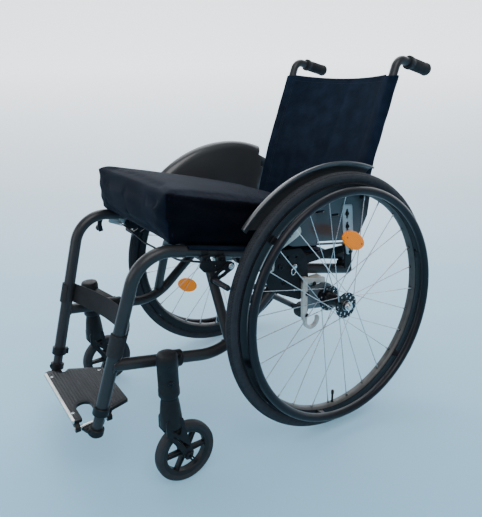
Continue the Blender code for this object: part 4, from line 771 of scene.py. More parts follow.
def spokes(side, tag):
    """Crossed spokes with hooked heads and nipples."""
    centre = wheel_point(side)
    parts = []
    for k in range(SPOKES):
        rim_angle, hub_angle, forward = spoke_angles(k)
        flange = side if k % 2 else -side
        apart = side * (0.0026 if forward else -0.0026)
        outward = 1.0 if apart * flange > 0 else -1.0
        hole = Vector((flange * (HUB_FLANGE_X + 0.0017 * outward), *polar(SPOKE_HOLE_R, hub_angle)))
        tip = Vector((flange * 0.002 + apart * 0.5, *polar(RIM_INNER_R - 0.0004, rim_angle)))
        run = (tip - hole).normalized()
        hole, tip = centre + hole, centre + tip
        through = X * (-0.0032 * outward * flange)
        path = [hole + through, hole + run * 0.0006, hole + run * 0.004, tip]
        parts.append(sweep(path, [0.001, 0.00105, 0.00095, 0.00095], 8, cap=0.0002))
        nipple = [(0.0017, 0.0), (0.0019, 0.001), (0.0016, 0.01), (0.0011, 0.0108)]
        parts.append(turned(nipple, tip, -run, 10))
        head = [(0.0019, 0.0), (0.0019, 0.0006), (0.001, 0.0011)]
        parts.append(turned(head, hole + through, through, 10))
    on_wheel("spoke_set_", parts, [STEEL], side, tag)


def hub(side, tag):
    """Black hub shell, two drilled flanges, end collar with a bright ring."""
    centre = wheel_point(side)
    end, face = -HUB_END_X, -HUB_FLANGE_X
    shell = mirrored([(0.0064, end), (0.0105, end), (0.0115, end + 0.001), (0.012, face + 0.0015),
                      (0.0175, face + 0.003), (0.0155, face + 0.008)], [(0.0145, 0.0)])
    parts = [turned(shell, centre, X, closed=True)]
    for flank in (-1, 1):
        holes = [circle(0.0, 0.0, 0.0108, 40)]
        for k in range(SPOKES):
            if (flank * side > 0) == bool(k % 2):
                holes.append(circle(*polar(SPOKE_HOLE_R, spoke_angles(k)[1]), 0.0013, 10))
        for k in range(10):
            a = tau * (k + 0.25) / 10
            holes.append(capsule(*polar(0.0188, a), 0.0021, *polar(0.0214, a), 0.0021, 6))
        x = centre.x + flank * HUB_FLANGE_X - 0.0013
        outline = circle(0.0, 0.0, HUB_FLANGE_R, 96)
        parts.append(prism(outline, holes, X * 0.0026, lambda y, z: Vector((x, y, z + AXLE_Z)), 0.0003))
    collar = [(0.0108, 0.0), (0.0122, 0.0), (0.0122, 0.0016), (0.0108, 0.0016)]
    bright = centre + X * (side * (HUB_FLANGE_X + 0.0014))
    parts.append((turned(collar, bright, X * side, 40, closed=True), 1))
    on_wheel("hub_shell_", parts, [HUB_BLACK, STEEL], side, tag, "hub_spokes_")


def push_rim(side, tag):
    """Hand ring on six bent tabs, each with a bolt to the rim."""
    centre = wheel_point(side)
    ring = circle(PUSH_RIM_R, side * PUSH_RIM_OFFSET, PUSH_RIM_TUBE_R, 20)
    parts = [turned(ring, centre, X, 180, closed=True)]
    for k in range(6):
        radial = spin(tau * (k + 0.25) / 6)
        along = Vector((0.0, -radial.z, radial.y))
        halves = ((RIM_HALF + 0.0006, 0.0085), (0.017, 0.0075), (0.022, 0.0062), (0.03, 0.0058))
        outline = [(side * reach, half) for reach, half in halves]
        outline += [(a, -b) for a, b in reversed(outline)]
        base = centre + radial * (PUSH_RIM_R - 0.0042)
        parts.append(prism(outline, (), radial * 0.003, lambda a, b: base + along * b + X * a))
        foot = centre + radial * (PUSH_RIM_R - 0.0012) + X * (side * (RIM_HALF + 0.0003))
        parts.append(hull([foot + along * (s * 0.0085) + radial * r + X * (side * x)
                           for s in (-1, 1) for r in (-0.0035, 0.005) for x in (0.0, 0.0022)], 0.0006))
        parts.append((bolt(foot + X * (side * 0.0022), X * side, 0.0026, 0.0018), 1))
    on_wheel("push_ring_", parts, [RING_BLACK, BLACK], side, tag, "push_rim_")


def axle_end(side, tag):
    """Pin head with its release button."""
    centre = wheel_point(side)
    head = HUB_END_X + GAP
    profile = [
        (0.0058, -0.03), (0.0058, head), (0.01, head), (0.0105, head + 0.0006), (0.0105, head + 0.005),
        (0.01, head + 0.006), (0.0072, head + 0.006), (0.007, head + 0.0012),
    ]
    on_wheel("pin_head_", turned(profile, centre, X * side), [CHROME], side, tag, "axle_pin_", "frame")
    start = head + 0.0053
    cap = [(0.0062, start), (0.0065, start + 0.0004), (0.0065, start + 0.0046), (0.0058, start + 0.0058),
           (0.0034, start + 0.0064), (0.0022, start + 0.0056)]
    button = turned(cap, centre, X * side, 40)
    on_wheel("release_button_", button, [CHROME], side, tag, "axle_button_", "button_")


def reflector(side, tag):
    """Oval lens in a thin tray with two bolts, leant as the spokes behind it."""
    centre_y, centre_z, seat = {"l": (0.035, 0.143, 0.013), "r": (-0.116, -0.104, 0.0121)}[tag]
    lean = radians(-28.0)
    reach = hypot(centre_y, centre_z)
    fall = HUB_FLANGE_X / (RIM_INNER_R - SPOKE_HOLE_R)

    def spot(u, v, lift):
        y = centre_y + u * cos(lean) - v * sin(lean)
        z = centre_z + u * sin(lean) + v * cos(lean)
        return wheel_point(side) + at(side, seat - (hypot(y, z) - reach) * fall + lift, y, z)

    def oval(long, short, lift):
        return [spot(long * a, short * b, lift) for a, b in circle(0.0, 0.0, 1.0, 72)]

    tray = [(0.035, 0.02, 0.0), (0.035, 0.02, 0.0022), (0.0344, 0.0194, 0.003)]
    lens = [(0.0342, 0.0192, 0.0028), (0.0334, 0.0184, 0.005)]
    lens += [(0.031, 0.0164, 0.006), (0.022, 0.011, 0.0064)]
    parts = [(loft([oval(*row) for row in rows]), index) for rows, index in ((tray, 1), (lens, 0))]
    parts += [(bolt(spot(u, 0.0, 0.0058), X * side, 0.0019, 0.001), 2) for u in (-0.024, 0.024)]
    on_wheel("spoke_lens_", parts, [LENS, LENS, BLACK], side, tag, "reflector_")


# Frame tubes


def front_path(side, steps=18):
    corners = [at(side, TUBE_X, *FRONT_TUBE_END), at(side, TUBE_X, *FRONT_CORNER),
               at(side, FRONT_FOOT_X, *FRONT_TUBE_LOW)]
    return rounded(corners, [0.075], steps)


def lower_path(side):
    corners = [at(side, LOWER_FRONT_X, *LOWER_FRONT)]
    corners += [at(side, TUBE_X, *p) for p in (LOWER_CORNER, RAIL_CORNER, RAIL_REAR)]
    return rounded(corners, [0.12, 0.055], 16)


def lower_point(side, y):
    share = (y - LOWER_FRONT[0]) / (LOWER_CORNER[0] - LOWER_FRONT[0])
    x = LOWER_FRONT_X + (TUBE_X - LOWER_FRONT_X) * share
    return at(side, x, y, along_line(LOWER_FRONT, LOWER_CORNER, y))


def foot_point(side, drop):
    """On the front tube's line, drop below its end."""
    top = Vector((FRONT_FOOT_X, *FRONT_TUBE_LOW))
    bend = Vector((TUBE_X, *FRONT_CORNER))
    return at(side, *(top + (top - bend).normalized() * drop))


def seat_point(side, y):
    return at(side, TUBE_X, y, seat_z(y))


def front_bar(side, tag):
    """Bent front tube with a slotted clamp band at its foot."""
    parts = [sweep(front_path(side), FRONT_TUBE_R, 32, cap=0.0008)]
    parts.append((rod(foot_point(side, -0.001), foot_point(side, 0.016), 0.0165, 40, 0.0008), 1))
    mid = foot_point(side, 0.0075)
    back = Vector((0.0, 1.0, -0.28)).normalized()
    down = foot_point(side, 0.014) - foot_point(side, 0.001)
    for shift in (-0.0034, 0.0034):
        base = mid + X * shift + back * 0.015
        corners = [base + X * a + back * b + down * c
                   for a in (-0.0028, 0.0028) for b in (-0.004, 0.0058) for c in (-0.5, 0.5)]
        parts.append((hull(corners, 0.0009), 1))
    parts.append((bolt(mid + X * (0.006 * side) + back * 0.0162, X * side, 0.0034, 0.003), 1))
    finish("front_bar_", parts, [TUBE, BLACK], "frame", "front_tube_", tag)


def seat_bar(side, tag):
    front, rear = seat_point(side, -0.39), seat_point(side, 0.08)
    parts = [sweep([front, rear], SEAT_TUBE_R, 32, cap=0.0008)]
    cap = [(0.0093, 0.0), (0.0105, 0.0004), (0.0104, 0.002), (0.008, 0.0032), (0.003, 0.0037)]
    parts.append((turned(cap, seat_point(side, 0.0795), rear - front, 32), 1))
    finish("seat_bar_", parts, [TUBE, PLASTIC], "frame", "seat_tube_", tag)


def lower_bar(side, tag):
    """Lower tube with its rising rail, the rear link and the guard's post, all welded."""
    parts = [sweep(lower_path(side), LOWER_TUBE_R, 32, cap=0.0006)]
    y = 0.084
    link_top = (TUBE_X + 0.006, y + 0.008, seat_z(y) + 0.0105)
    parts.append(span(side, (TUBE_X - 0.006, y - 0.008, rail_z(y)), link_top, 0.002))
    reach = GUARD_X + 0.001
    level = rail_z(0.082) + LOWER_TUBE_R + 0.0025
    parts.append((span(side, (TUBE_X, 0.066, level), (reach, 0.082, level + 0.0105), 0.0016), 1))
    parts.append((span(side, (reach - 0.004, 0.06, level), (reach, 0.082, 0.412), 0.0012), 1))
    foot = at(side, LOWER_FRONT_X, *LOWER_FRONT)
    run = at(side, TUBE_X, *LOWER_CORNER) - foot
    tube = at(side, TUBE_X, *FRONT_CORNER), at(side, FRONT_FOOT_X, *FRONT_TUBE_LOW)
    parts.append(weld(foot, run, LOWER_TUBE_R + 0.0006, *tube, FRONT_TUBE_R))
    plug = [at(side, TUBE_X, y, rail_z(y)) for y in (0.1045, 0.1075)]
    parts.append((sweep(plug, LOWER_TUBE_R - 0.0012, 32), 1))
    finish("lower_bar_", parts, [TUBE, BLACK], "frame", "lower_tube_", tag)


def arch():
    """Bent cross tube whose feet are welded on the lower tubes."""
    corners = [at(-1, *LEG_FOOT), at(-1, *LEG_TOP), LEG_TOP, LEG_FOOT]
    parts = [sweep(rounded(corners, [0.04, 0.04], 14), LEG_TUBE_R, hint=Y, sides=32)]
    for side in (-1, 1):
        main = [p for p in lower_path(side) if -0.285 < p.y < -0.215]
        centre = min(main, key=lambda p: abs(p.y - LEG_Y))
        run = at(side, *LEG_TOP) - at(side, *LEG_FOOT)
        start = centre + run.normalized() * 0.001
        start.y = LEG_Y
        main_end = centre + (main[-1] - main[0]).normalized()
        parts.append(weld(start, run, LEG_TUBE_R + 0.0005, centre, main_end, LOWER_TUBE_R))
    finish("cross_bar", parts, [TUBE], "frame", "cross_arch")


def foot_bar(side, tag):
    """Sliding footrest tube, its sleeve, and the hinge or the ledge that holds the plate."""
    parts = [rod(foot_point(side, -0.045), foot_point(side, 0.0635), FOOT_TUBE_R, 32, 0.0012)]
    drop = 0.047 if side > 0 else 0.038
    low, high = foot_point(side, drop + 0.015), foot_point(side, drop)
    parts.append((rod(high, low, FOOT_TUBE_R + 0.005, 40, 0.0014), 1))
    mid = (low + high) / 2.0
    front = Vector((0.0, -1.0, 0.28)).normalized()
    parts.append((bolt(mid + front * 0.0148, front, 0.0036, 0.0022), 1))
    plug = [(0.0088, 0.0), (0.0104, 0.0004), (0.0102, 0.0022), (0.007, 0.0034), (0.003, 0.0037)]
    parts.append((turned(plug, foot_point(side, 0.063), low - high, 32), 1))
    if side > 0:
        y0, y1 = PLATE_FRONT_Y + 0.015, PLATE_FRONT_Y + 0.065
        pin = [(0.0025, 0.0), (0.004, 0.001), (0.004, 0.081), (0.0025, 0.082)]
        parts.append((turned(pin, (FLIP_X, PLATE_FRONT_Y + 0.0005, FLIP_Z), Y, 28), 2))
        corners = []
        for z in (FLIP_Z - 0.0085, FLIP_Z - 0.001):
            corners += [(FLIP_X, y, z) for y in (y0, y1)]
            corners += [(mid.x - 0.004, mid.y + y, z) for y in (-0.01, 0.01)]
        parts.append((hull(corners, 0.0018), 1))
        for y in (y0 + 0.009, y1 - 0.009):
            parts.append((bolt((FLIP_X + 0.014, y, FLIP_Z - 0.0012), Z, 0.003, 0.0018), 1))
    else:
        top = PLATE_LOW - GAP
        start = (low.x + 0.004, low.y - 0.014, top - 0.007)
        parts.append((block(start, (-0.1, low.y + 0.006, top), 0.0012), 1))
    finish("foot_bar_", parts, [TUBE, BLACK_CAST, STEEL], "frame", "footrest_tube_", tag)


# Plates at the seat's rear

BOSS_X = ARM_X + ARM_T + GAP


def gusset(side, tag):
    """Plate with its fold bolt, spare bolts and the bosses on the tubes."""
    offsets = [(-0.047, -0.008), (-0.029, 0.042), (0.059, 0.033), (0.075, 0.01), (0.081, -0.042),
               (0.059, -0.094), (0.001, -0.066), (-0.029, -0.048)]
    spots = around(*FOLD, [(-0.003, 0.025), (0.021, 0.02), (0.045, 0.015), (0.041, -0.064)])
    holes = [circle(y, z, 0.0032, 18) for y, z in spots] + [circle(*RING, 0.0044)]
    outline = soften(around(*FOLD, offsets), 0.008, 5)
    parts = [side_plate(side, BOSS_X, PLATE_T, outline, holes, 0.0006)]
    out = BOSS_X + PLATE_T
    upper, lower = FOLD[0] - 0.027, FOLD[0] + 0.009
    for y, z in ((upper, seat_z(upper)), (lower, along_line(LOWER_CORNER, RAIL_CORNER, lower))):
        parts.append(rod(at(side, TUBE_X + 0.009, y, z), at(side, BOSS_X + 0.001, y, z), 0.0065))
        parts.append((side_bolt(side, out - 0.0006, y, z, 0.0046, 0.003, 0.0006), 1))
    fold = [(0.004, -0.013), (0.004, 0.0), (0.007, 0.0), (0.007, 0.0022), (0.006, 0.003),
            (0.0034, 0.003), (0.003, 0.0012)]
    parts.append((turned(fold, at(side, out, *FOLD), X * side, 30), 1))
    finish("fold_plate_", parts, [BLACK_CAST, BLACK], "frame", "gusset_", tag)


def ring_pin(side, tag):
    """Sprung pin with its bent pull loop."""
    outer = BOSS_X + PLATE_T
    body = [(0.004, BOSS_X), (0.004, outer + 0.0003), (0.0058, outer + 0.0003),
            (0.006, outer + 0.001), (0.006, outer + 0.0052), (0.0044, outer + 0.006),
            (0.004, outer + 0.008), (0.003, outer + 0.0084)]
    centre = at(side, outer + 0.0068, RING[0] - 0.005, RING[1] - 0.0095)
    loop = turned(circle(0.0082, 0.0, 0.0012, 12), centre, (side, 0.3, 0.0), closed=True)
    parts = [turned(body, (0.0, *RING), X * side, 28), loop]
    finish("pull_ring_", parts, [CHROME], "ring_", "ring_pin_", tag)


def back_arm(side, tag):
    outline = capsule(*FOLD, 0.012, BACK_BASE[0], BACK_BASE[1] - 0.004, 0.0085)
    parts = [side_plate(side, ARM_X, ARM_T, outline, [circle(*FOLD, 0.0046)], 0.0007)]
    base = at(side, BACK_X, *BACK_BASE)
    up = (at(side, BACK_X, *BACK_MID) - base).normalized()
    socket = [(0.0118, -0.004), (0.0144, -0.004), (0.015, -0.0034), (0.015, 0.0392), (0.0144, 0.04),
              (0.0109, 0.04), (0.0109, 0.0)]
    parts.append(turned(socket, base, up, 40, closed=True))
    for reach in (0.01, 0.028):
        parts.append((bolt(base + up * reach + X * (side * 0.0146), X * side, 0.0038, 0.002), 1))
    finish("back_link_", parts, [BLACK_CAST, BLACK], "back", "back_arm_", tag)


def back_bar(side, tag):
    corners = [at(side, BACK_X, *p) for p in (BACK_BASE, BACK_MID, BACK_TOP, BACK_END)]
    bm = sweep(rounded(corners, [0.15, 0.024], 14), BACK_TUBE_R, 32)
    finish("back_bar_", bm, [TUBE], "back", "back_tube_", tag)


def push_handle(side, tag):
    """Rubber grip: collar, finger grooves and a domed end."""
    top, end = at(side, BACK_X, *BACK_TOP), at(side, BACK_X, *BACK_END)
    run = (end - top).normalized()
    start = top + run * 0.036
    length = (end + run * 0.006 - start).length
    profile = [(0.0109, 0.0), (0.0152, 0.0), (0.0165, 0.0012)]
    profile += [(0.0165, 0.0085), (0.0154, 0.011), (0.0146, 0.015)]
    reach = 0.018
    ribs = 11
    pitch = (length - 0.018 - reach) / ribs
    for k in range(ribs):
        for share, deep in ((0.0, 0.0009), (0.18, 0.0001), (0.5, 0.0), (0.82, 0.0001)):
            profile.append((0.0151 - deep, reach + (k + share) * pitch))
    ends = ((0.0151, 0.017), (0.0158, 0.01), (0.016, 0.006), (0.014, 0.0018), (0.01, 0.0003), (0.004, 0.0))
    profile += [(r, length - short) for r, short in ends]
    finish("push_handle_", turned(profile, start, run, 44), [GRIP], "back", "push_grip_", tag, 40.0)


# Side guards and axle

GUARD_OUT = GUARD_X + 0.003
GUARD_LINE_R = 0.296
POST = (0.082, 0.412)


def slot(a, b, half, teeth=0, tooth=0.0008):
    """Long round-ended slot between two points, its edges toothed if asked."""
    p, q = Vector(a), Vector(b)
    run = (q - p).normalized()
    out = Vector((-run.y, run.x))
    length = (q - p).length
    left, right = [], []
    count = max(1, teeth * 2)
    for k in range(count + 1):
        spot = p + run * (length * k / count)
        wide = half - (tooth if teeth and k % 2 else 0.0)
        left.append(tuple(spot + out * wide))
        right.append(tuple(spot - out * wide))
    heading = atan2(run.y, run.x)
    cap_b = arc(q.x, q.y, half, heading + pi / 2.0, heading - pi / 2.0, 8)[1:-1]
    cap_a = arc(p.x, p.y, half, heading - pi / 2.0, heading - 1.5 * pi, 8)[1:-1]
    return left + cap_b + right[::-1] + cap_a


def slot_at(origin, a, b, half, teeth=0):
    return slot(*around(*origin, [a, b]), half, teeth)


def guard(side, tag):
    """Moulded panel, flange rolled over the tyre, and the slotted strip at its rear."""
    front, rear = radians(90.0 + 47.0), radians(90.0 - 24.0)
    steps = 48
    offsets = [(-0.196, 0.1862), (-0.1, 0.1437), (0.072, 0.1157)]
    offsets += [(0.098, 0.1282), (0.126, 0.1762), (0.136, 0.2402)]
    outline = arc(0.0, AXLE_Z, GUARD_LINE_R, rear, front, steps)
    outline += soften(around(0.0, AXLE_Z, offsets), 0.012, 5)
    axle = (0.0, AXLE_Z)
    slots = []
    if side > 0:
        slots = [slot_at(axle, (0.0125, 0.1955), (0.0335, 0.1941), 0.0029),
                 slot_at(axle, (-0.0125, 0.209), (-0.0335, 0.2102), 0.0029),
                 slot_at(axle, (-0.03, 0.139), (0.05, 0.1262), 0.0022)]
    parts = [side_plate(side, GUARD_X, 0.003, outline, slots, 0.0006)]
    section = [
        (0.0, 0.295), (0.0006, 0.301), (0.0022, 0.307), (0.005, 0.3125), (0.009, 0.317),
        (0.0135, 0.32), (0.0185, 0.3213), (0.0215, 0.3209), (0.0232, 0.3188), (0.0228, 0.316),
        (0.0216, 0.3158), (0.0214, 0.318), (0.0185, 0.3184), (0.0145, 0.3172), (0.0105, 0.3145),
        (0.007, 0.3105), (0.0045, 0.306), (0.0033, 0.3005), (0.003, 0.295),
    ]
    angles = [rear + (front - rear) * k / steps for k in range(1, steps + 2)]
    rings = [[at(side, GUARD_X + a, r * cos(t), AXLE_Z + r * sin(t)) for a, r in section] for t in angles]
    parts.append(loft(rings))
    strip = [(-0.039, 0.104), (-0.008, 0.1), (-0.003, 0.04), (0.0, -0.02), (-0.02, -0.022), (-0.036, 0.043)]
    holes = [slot_at(POST, (-0.024, 0.088), (-0.0232, 0.0715), 0.0036, 5),
             slot_at(POST, (-0.0225, 0.057), (-0.0212, 0.041), 0.0036, 5)]
    outline = soften(around(*POST, strip), 0.006)
    parts.append((side_plate(side, GUARD_X + 0.002, 0.003, outline, holes, 0.0006), 1))
    out = GUARD_X + 0.005
    for y, z in around(*POST, [(-0.0237, 0.08), (-0.0218, 0.049)]):
        parts.append((side_bolt(side, out - 0.0008, y, z, 0.0042, 0.0028, 0.0008), 2))
    for y, z in around(*POST, [(-0.01, -0.006), (-0.01, -0.016)]):
        parts.append((side_bolt(side, out - 0.0004, y, z, 0.0036, 0.0024, 0.0006), 2))
    for y, z in around(*axle, [(-0.17, 0.192), (0.105, 0.225)]):
        parts.append((side_bolt(side, GUARD_X + 0.0026, y, z, 0.005, 0.0022, 0.0006), 2))
    finish("guard_panel_", parts, [GUARD, STRIP, BLACK], "frame", "side_guard_", tag)


def guard_bracket(side, tag):
    """Bent pale bracket with its toothed slot, two bolts and a foot on the gusset."""
    offsets = [(-0.07, 0.008), (-0.037, 0.002), (-0.025, 0.046), (0.017, 0.063), (0.043, 0.076),
               (0.039, 0.096), (-0.011, 0.087), (-0.051, 0.062)]
    outline = soften(around(*FOLD, offsets), 0.01, 5)
    ends = around(*FOLD, [(-0.026, 0.066), (0.017, 0.08)])
    x = GUARD_OUT + GAP
    parts = [side_plate(side, x, 0.003, outline, [slot(*ends, 0.0034, 9)], 0.0006)]
    foot = around(*FOLD, [(-0.059, 0.007), (-0.031, 0.003), (-0.029, 0.02), (-0.053, 0.026)])
    inner = BOSS_X + PLATE_T + GAP
    parts.append(side_plate(side, inner, x - inner, soften(foot, 0.004), (), 0.0008))
    out = x + 0.003
    a, b = Vector(ends[0]), Vector(ends[1])
    for share in (0.2, 0.8):
        parts.append((side_bolt(side, out - 0.0006, *(a + (b - a) * share), 0.0044, 0.003, 0.0008), 1))
    parts.append((side_bolt(side, out - 0.0004, FOLD[0] - 0.044, FOLD[1] + 0.014, 0.0044, 0.003, 0.0006), 1))
    finish("guard_link_", parts, [CAST_ALLOY, BLACK], "frame", "guard_bracket_", tag)


def axle_bar():
    """Cross tube between the wheels with a coloured sleeve on each side."""
    half = AXLE_TUBE_X
    profile = mirrored([(0.0063, -half), (0.018, -half), (0.019, -half + 0.001)])
    parts = [turned(profile, (0.0, 0.0, AXLE_Z), X, 56)]
    sleeve = [(0.0188, 0.0), (0.0193, 0.0005), (0.0193, 0.0325), (0.0188, 0.033)]
    for side in (-1, 1):
        parts.append((turned(sleeve, at(side, 0.158, 0.0, AXLE_Z), X * side, 56, closed=True), 1))
    finish("axle_bar", parts, [BLACK, SLEEVE], "frame", "axle_tube")


def axle_clamp(side, tag):
    """Cast clamp: split ring, upright, hooked foot, ears and bolts."""
    top = rail_z(0.0) - 0.0145
    bar = -0.057
    bar_top = rail_z(bar) - 0.0145
    hook = (bar + 0.0215, 0.245)
    start, end = radians(172.0), radians(378.0)
    upright = [(bar + 0.0075, bar_top), *arc(*hook, 0.015, start, end, 20),
               *arc(*hook, 0.0222, end, start + 0.1, 24), (bar - 0.006, 0.256), (bar - 0.006, bar_top)]
    head = [(bar - 0.006, bar_top), (0.004, top), (0.004, top - 0.013), (bar - 0.006, bar_top - 0.013)]
    ring = arc(0.0, AXLE_Z, 0.031, radians(-104.0), radians(104.0), 28)
    ring += [(bar + 0.004, AXLE_Z + 0.022), (bar + 0.004, AXLE_Z - 0.022)]
    x = AXLE_TUBE_X - 0.009
    parts = [
        side_plate(side, x, 0.009, soften(upright, 0.0016, 2), (), 0.0008),
        side_plate(side, x, 0.0084, head, (), 0.001),
        (side_plate(side, x + 0.0006, 0.008, ring, [circle(0.0, AXLE_Z, 0.01935, 48)], 0.001), 2),
        span(side, (TUBE_X + 0.006, -0.034, top - 0.014), (x + 0.001, -0.002, top + 0.004), 0.0016),
    ]
    for y, z in ((-0.052, 0.262), (-0.0515, 0.316), (-0.03, top - 0.008)):
        parts.append((side_bolt(side, AXLE_TUBE_X - 0.0006, y, z, 0.004, 0.0026, 0.0006), 1))
    pinch = at(side, x + 0.0045, -0.026, AXLE_Z - 0.0245)
    parts.append((bolt(pinch, (0, -0.35, -1), 0.0034, 0.003), 1))
    finish("axle_bracket_", parts, [CAST_ALLOY, BLACK, SLEEVE], "frame", "axle_clamp_", tag)


# Casters


def caster_housing(side, tag):
    """Barrel, cap, web and split sleeve on the lower tube."""
    centre = at(side, CASTER_X, CASTER_Y, 0.0)
    low, top = HOUSING_LOW, HOUSING_TOP
    profile = [
        (0.0085, low), (0.019, low), (0.0205, low + 0.0012), (0.0215, low + 0.0032), (0.0215, low + 0.015),
        (0.0208, low + 0.017), (0.0208, top - 0.025), (0.0215, top - 0.023), (0.0215, top - 0.01),
        (0.0208, top - 0.0085), (0.0203, top - 0.005), (0.0185, top - 0.0022), (0.014, top - 0.0006),
        (0.006, top),
    ]
    a, b = lower_point(side, -0.41), lower_point(side, -0.362)
    parts = [turned(profile, centre, Z, 56), rod(a, b, 0.0175, 44, 0.0022)]
    web = ((-0.008, 0.282), (-0.008, 0.228), (0.009, 0.216), (0.013, 0.282))
    points = [at(side, CASTER_X - 0.008, CASTER_Y + y, z) for y, z in web]
    x = (a.x + b.x) / 2.0 + side * 0.004
    for p, inset in ((a, 0.002), (b, -0.002)):
        points += [(x, p.y + inset, p.z + rise) for rise in (-0.011, 0.011)]
    parts.append(hull(points, 0.003))
    for y in (-0.4, -0.372):
        spot = lower_point(side, y) + at(side, 0.0165, 0.0, 0.011)
        parts.append((bolt(spot, (side * 0.5, 0, 1), 0.0036, 0.0028), 1))
    spot = centre + at(side, 0.0205, -0.0045, 0.24)
    parts.append((bolt(spot, (side, -0.22, 0), 0.0048, 0.0022, 0.0006), 1))
    out = Vector((side, -0.3, 0.0)).normalized()
    parts.append((bolt(centre + out * 0.0208 + Z * 0.276, out, 0.003, 0.0012), 1))
    finish("caster_barrel_", parts, [BLACK_CAST, BLACK], "frame", "caster_housing_", tag)


def caster_fork(side, tag):
    """One-piece windowed fork with its stem, axle bolt and nut."""
    centre = at(side, CASTER_X, CASTER_Y, 0.0)
    inner, leg_t = 0.015, 0.005
    crown = CASTER_R * 2.0 + 0.006
    top = HOUSING_LOW - 0.0006
    profile = [
        (0.012, crown), (0.0215, crown), (0.0225, crown + 0.0015), (0.0225, crown + 0.02),
        (0.0205, crown + 0.04), (0.0185, top - 0.012), (0.0175, top - 0.01), (0.0175, top - 0.0012),
        (0.0165, top), (0.008, top), (0.008, top + 0.03),
    ]
    parts = [turned(profile, centre, Z, 56)]
    front, axle_y, r = CASTER_Y, CASTER_Y + CASTER_TRAIL, CASTER_R
    outline = [
        (front - 0.018, crown + 0.024), (front - 0.019, crown - 0.008), (axle_y - 0.011, r + 0.006),
        (axle_y - 0.008, r - 0.01), (axle_y + 0.008, r - 0.01), (axle_y + 0.011, r + 0.004),
        (front + 0.021, crown - 0.004), (front + 0.018, crown + 0.024),
    ]
    windows = [
        [(front - 0.013, crown + 0.004), (front + 0.014, crown + 0.004), (front + 0.01, crown - 0.018)],
        [(front - 0.011, crown - 0.008), (front + 0.004, crown - 0.022), (axle_y + 0.006, r + 0.018),
         (axle_y - 0.005, r + 0.018)],
    ]
    holes = [soften(window, 0.003) for window in windows]
    for x in (-inner - leg_t, inner):
        leg = side_plate(1, side * CASTER_X + x, leg_t, soften(outline, 0.008, 5), holes, 0.0013)
        parts.append(leg)
    for lean in (-1, 1):
        cheek = ((0.014, 0.002), (0.02, 0.002), (0.014, 0.03), (0.017, 0.03))
        points = [centre + Vector((lean * a, y, crown + z)) for y in (-0.015, 0.015) for a, z in cheek]
        parts.append(hull(points, 0.0022))
    axle = at(side, CASTER_X, axle_y, r)
    for lean in (-1, 1):
        flats = 6 if lean * side < 0 else SMOOTH
        parts.append((bolt(axle + X * (lean * 0.0198), X * lean, 0.0072, 0.0036, flats=flats), 1))
    parts.append((rod(axle - X * 0.019, axle + X * 0.019, 0.004), 1))
    finish("caster_fork_body_", parts, [BLACK_CAST, BLACK], "fork_", "caster_fork_", tag)


def caster_wheel(side, tag):
    """Solid tyre on a moulded rim with six pairs of thin spokes and bearings."""
    centre = at(side, CASTER_X, CASTER_Y + CASTER_TRAIL, CASTER_R)
    tread = [(0.052, -0.0096), (0.056, -0.0112), (0.0595, -0.0119), (0.062, -0.0108), (0.0638, -0.008),
             (CASTER_R, -0.0045)]
    band = [(0.043, -0.007), (0.044, -0.0082), (0.05, -0.0094), (0.0526, -0.0096)]
    core = [(0.0046, -0.0122), (0.007, -0.0126), (0.0074, -0.0116), (0.01, -0.0116), (0.0112, -0.0126),
            (0.012, -0.0118)]
    forms = ((tread, 120, 0), (band, 120, 1), (core, 48, 1))
    parts = [(turned(mirrored(half), centre, X, count, closed=True), index) for half, count, index in forms]
    for k in range(6):
        for lean in (-1, 1):
            base = centre + spin(tau * k / 6 + lean * 0.3) * 0.0108
            tip = centre + spin(tau * k / 6 + lean * 0.055) * 0.0436
            run = (tip - base).normalized()
            along = Vector((0.0, -run.z, run.y))
            corners = [spot + along * (s * w) + X * x for spot, w in ((base, 0.0019), (tip, 0.0015))
                       for s in (-1, 1) for x in (-0.0052, 0.0052)]
            parts.append((hull(corners, 0.0006), 1))
    finish("caster_roller_", parts, [CASTER_TYRE, PLASTIC], "caster_", "caster_wheel_", tag)


# Footrest and strap


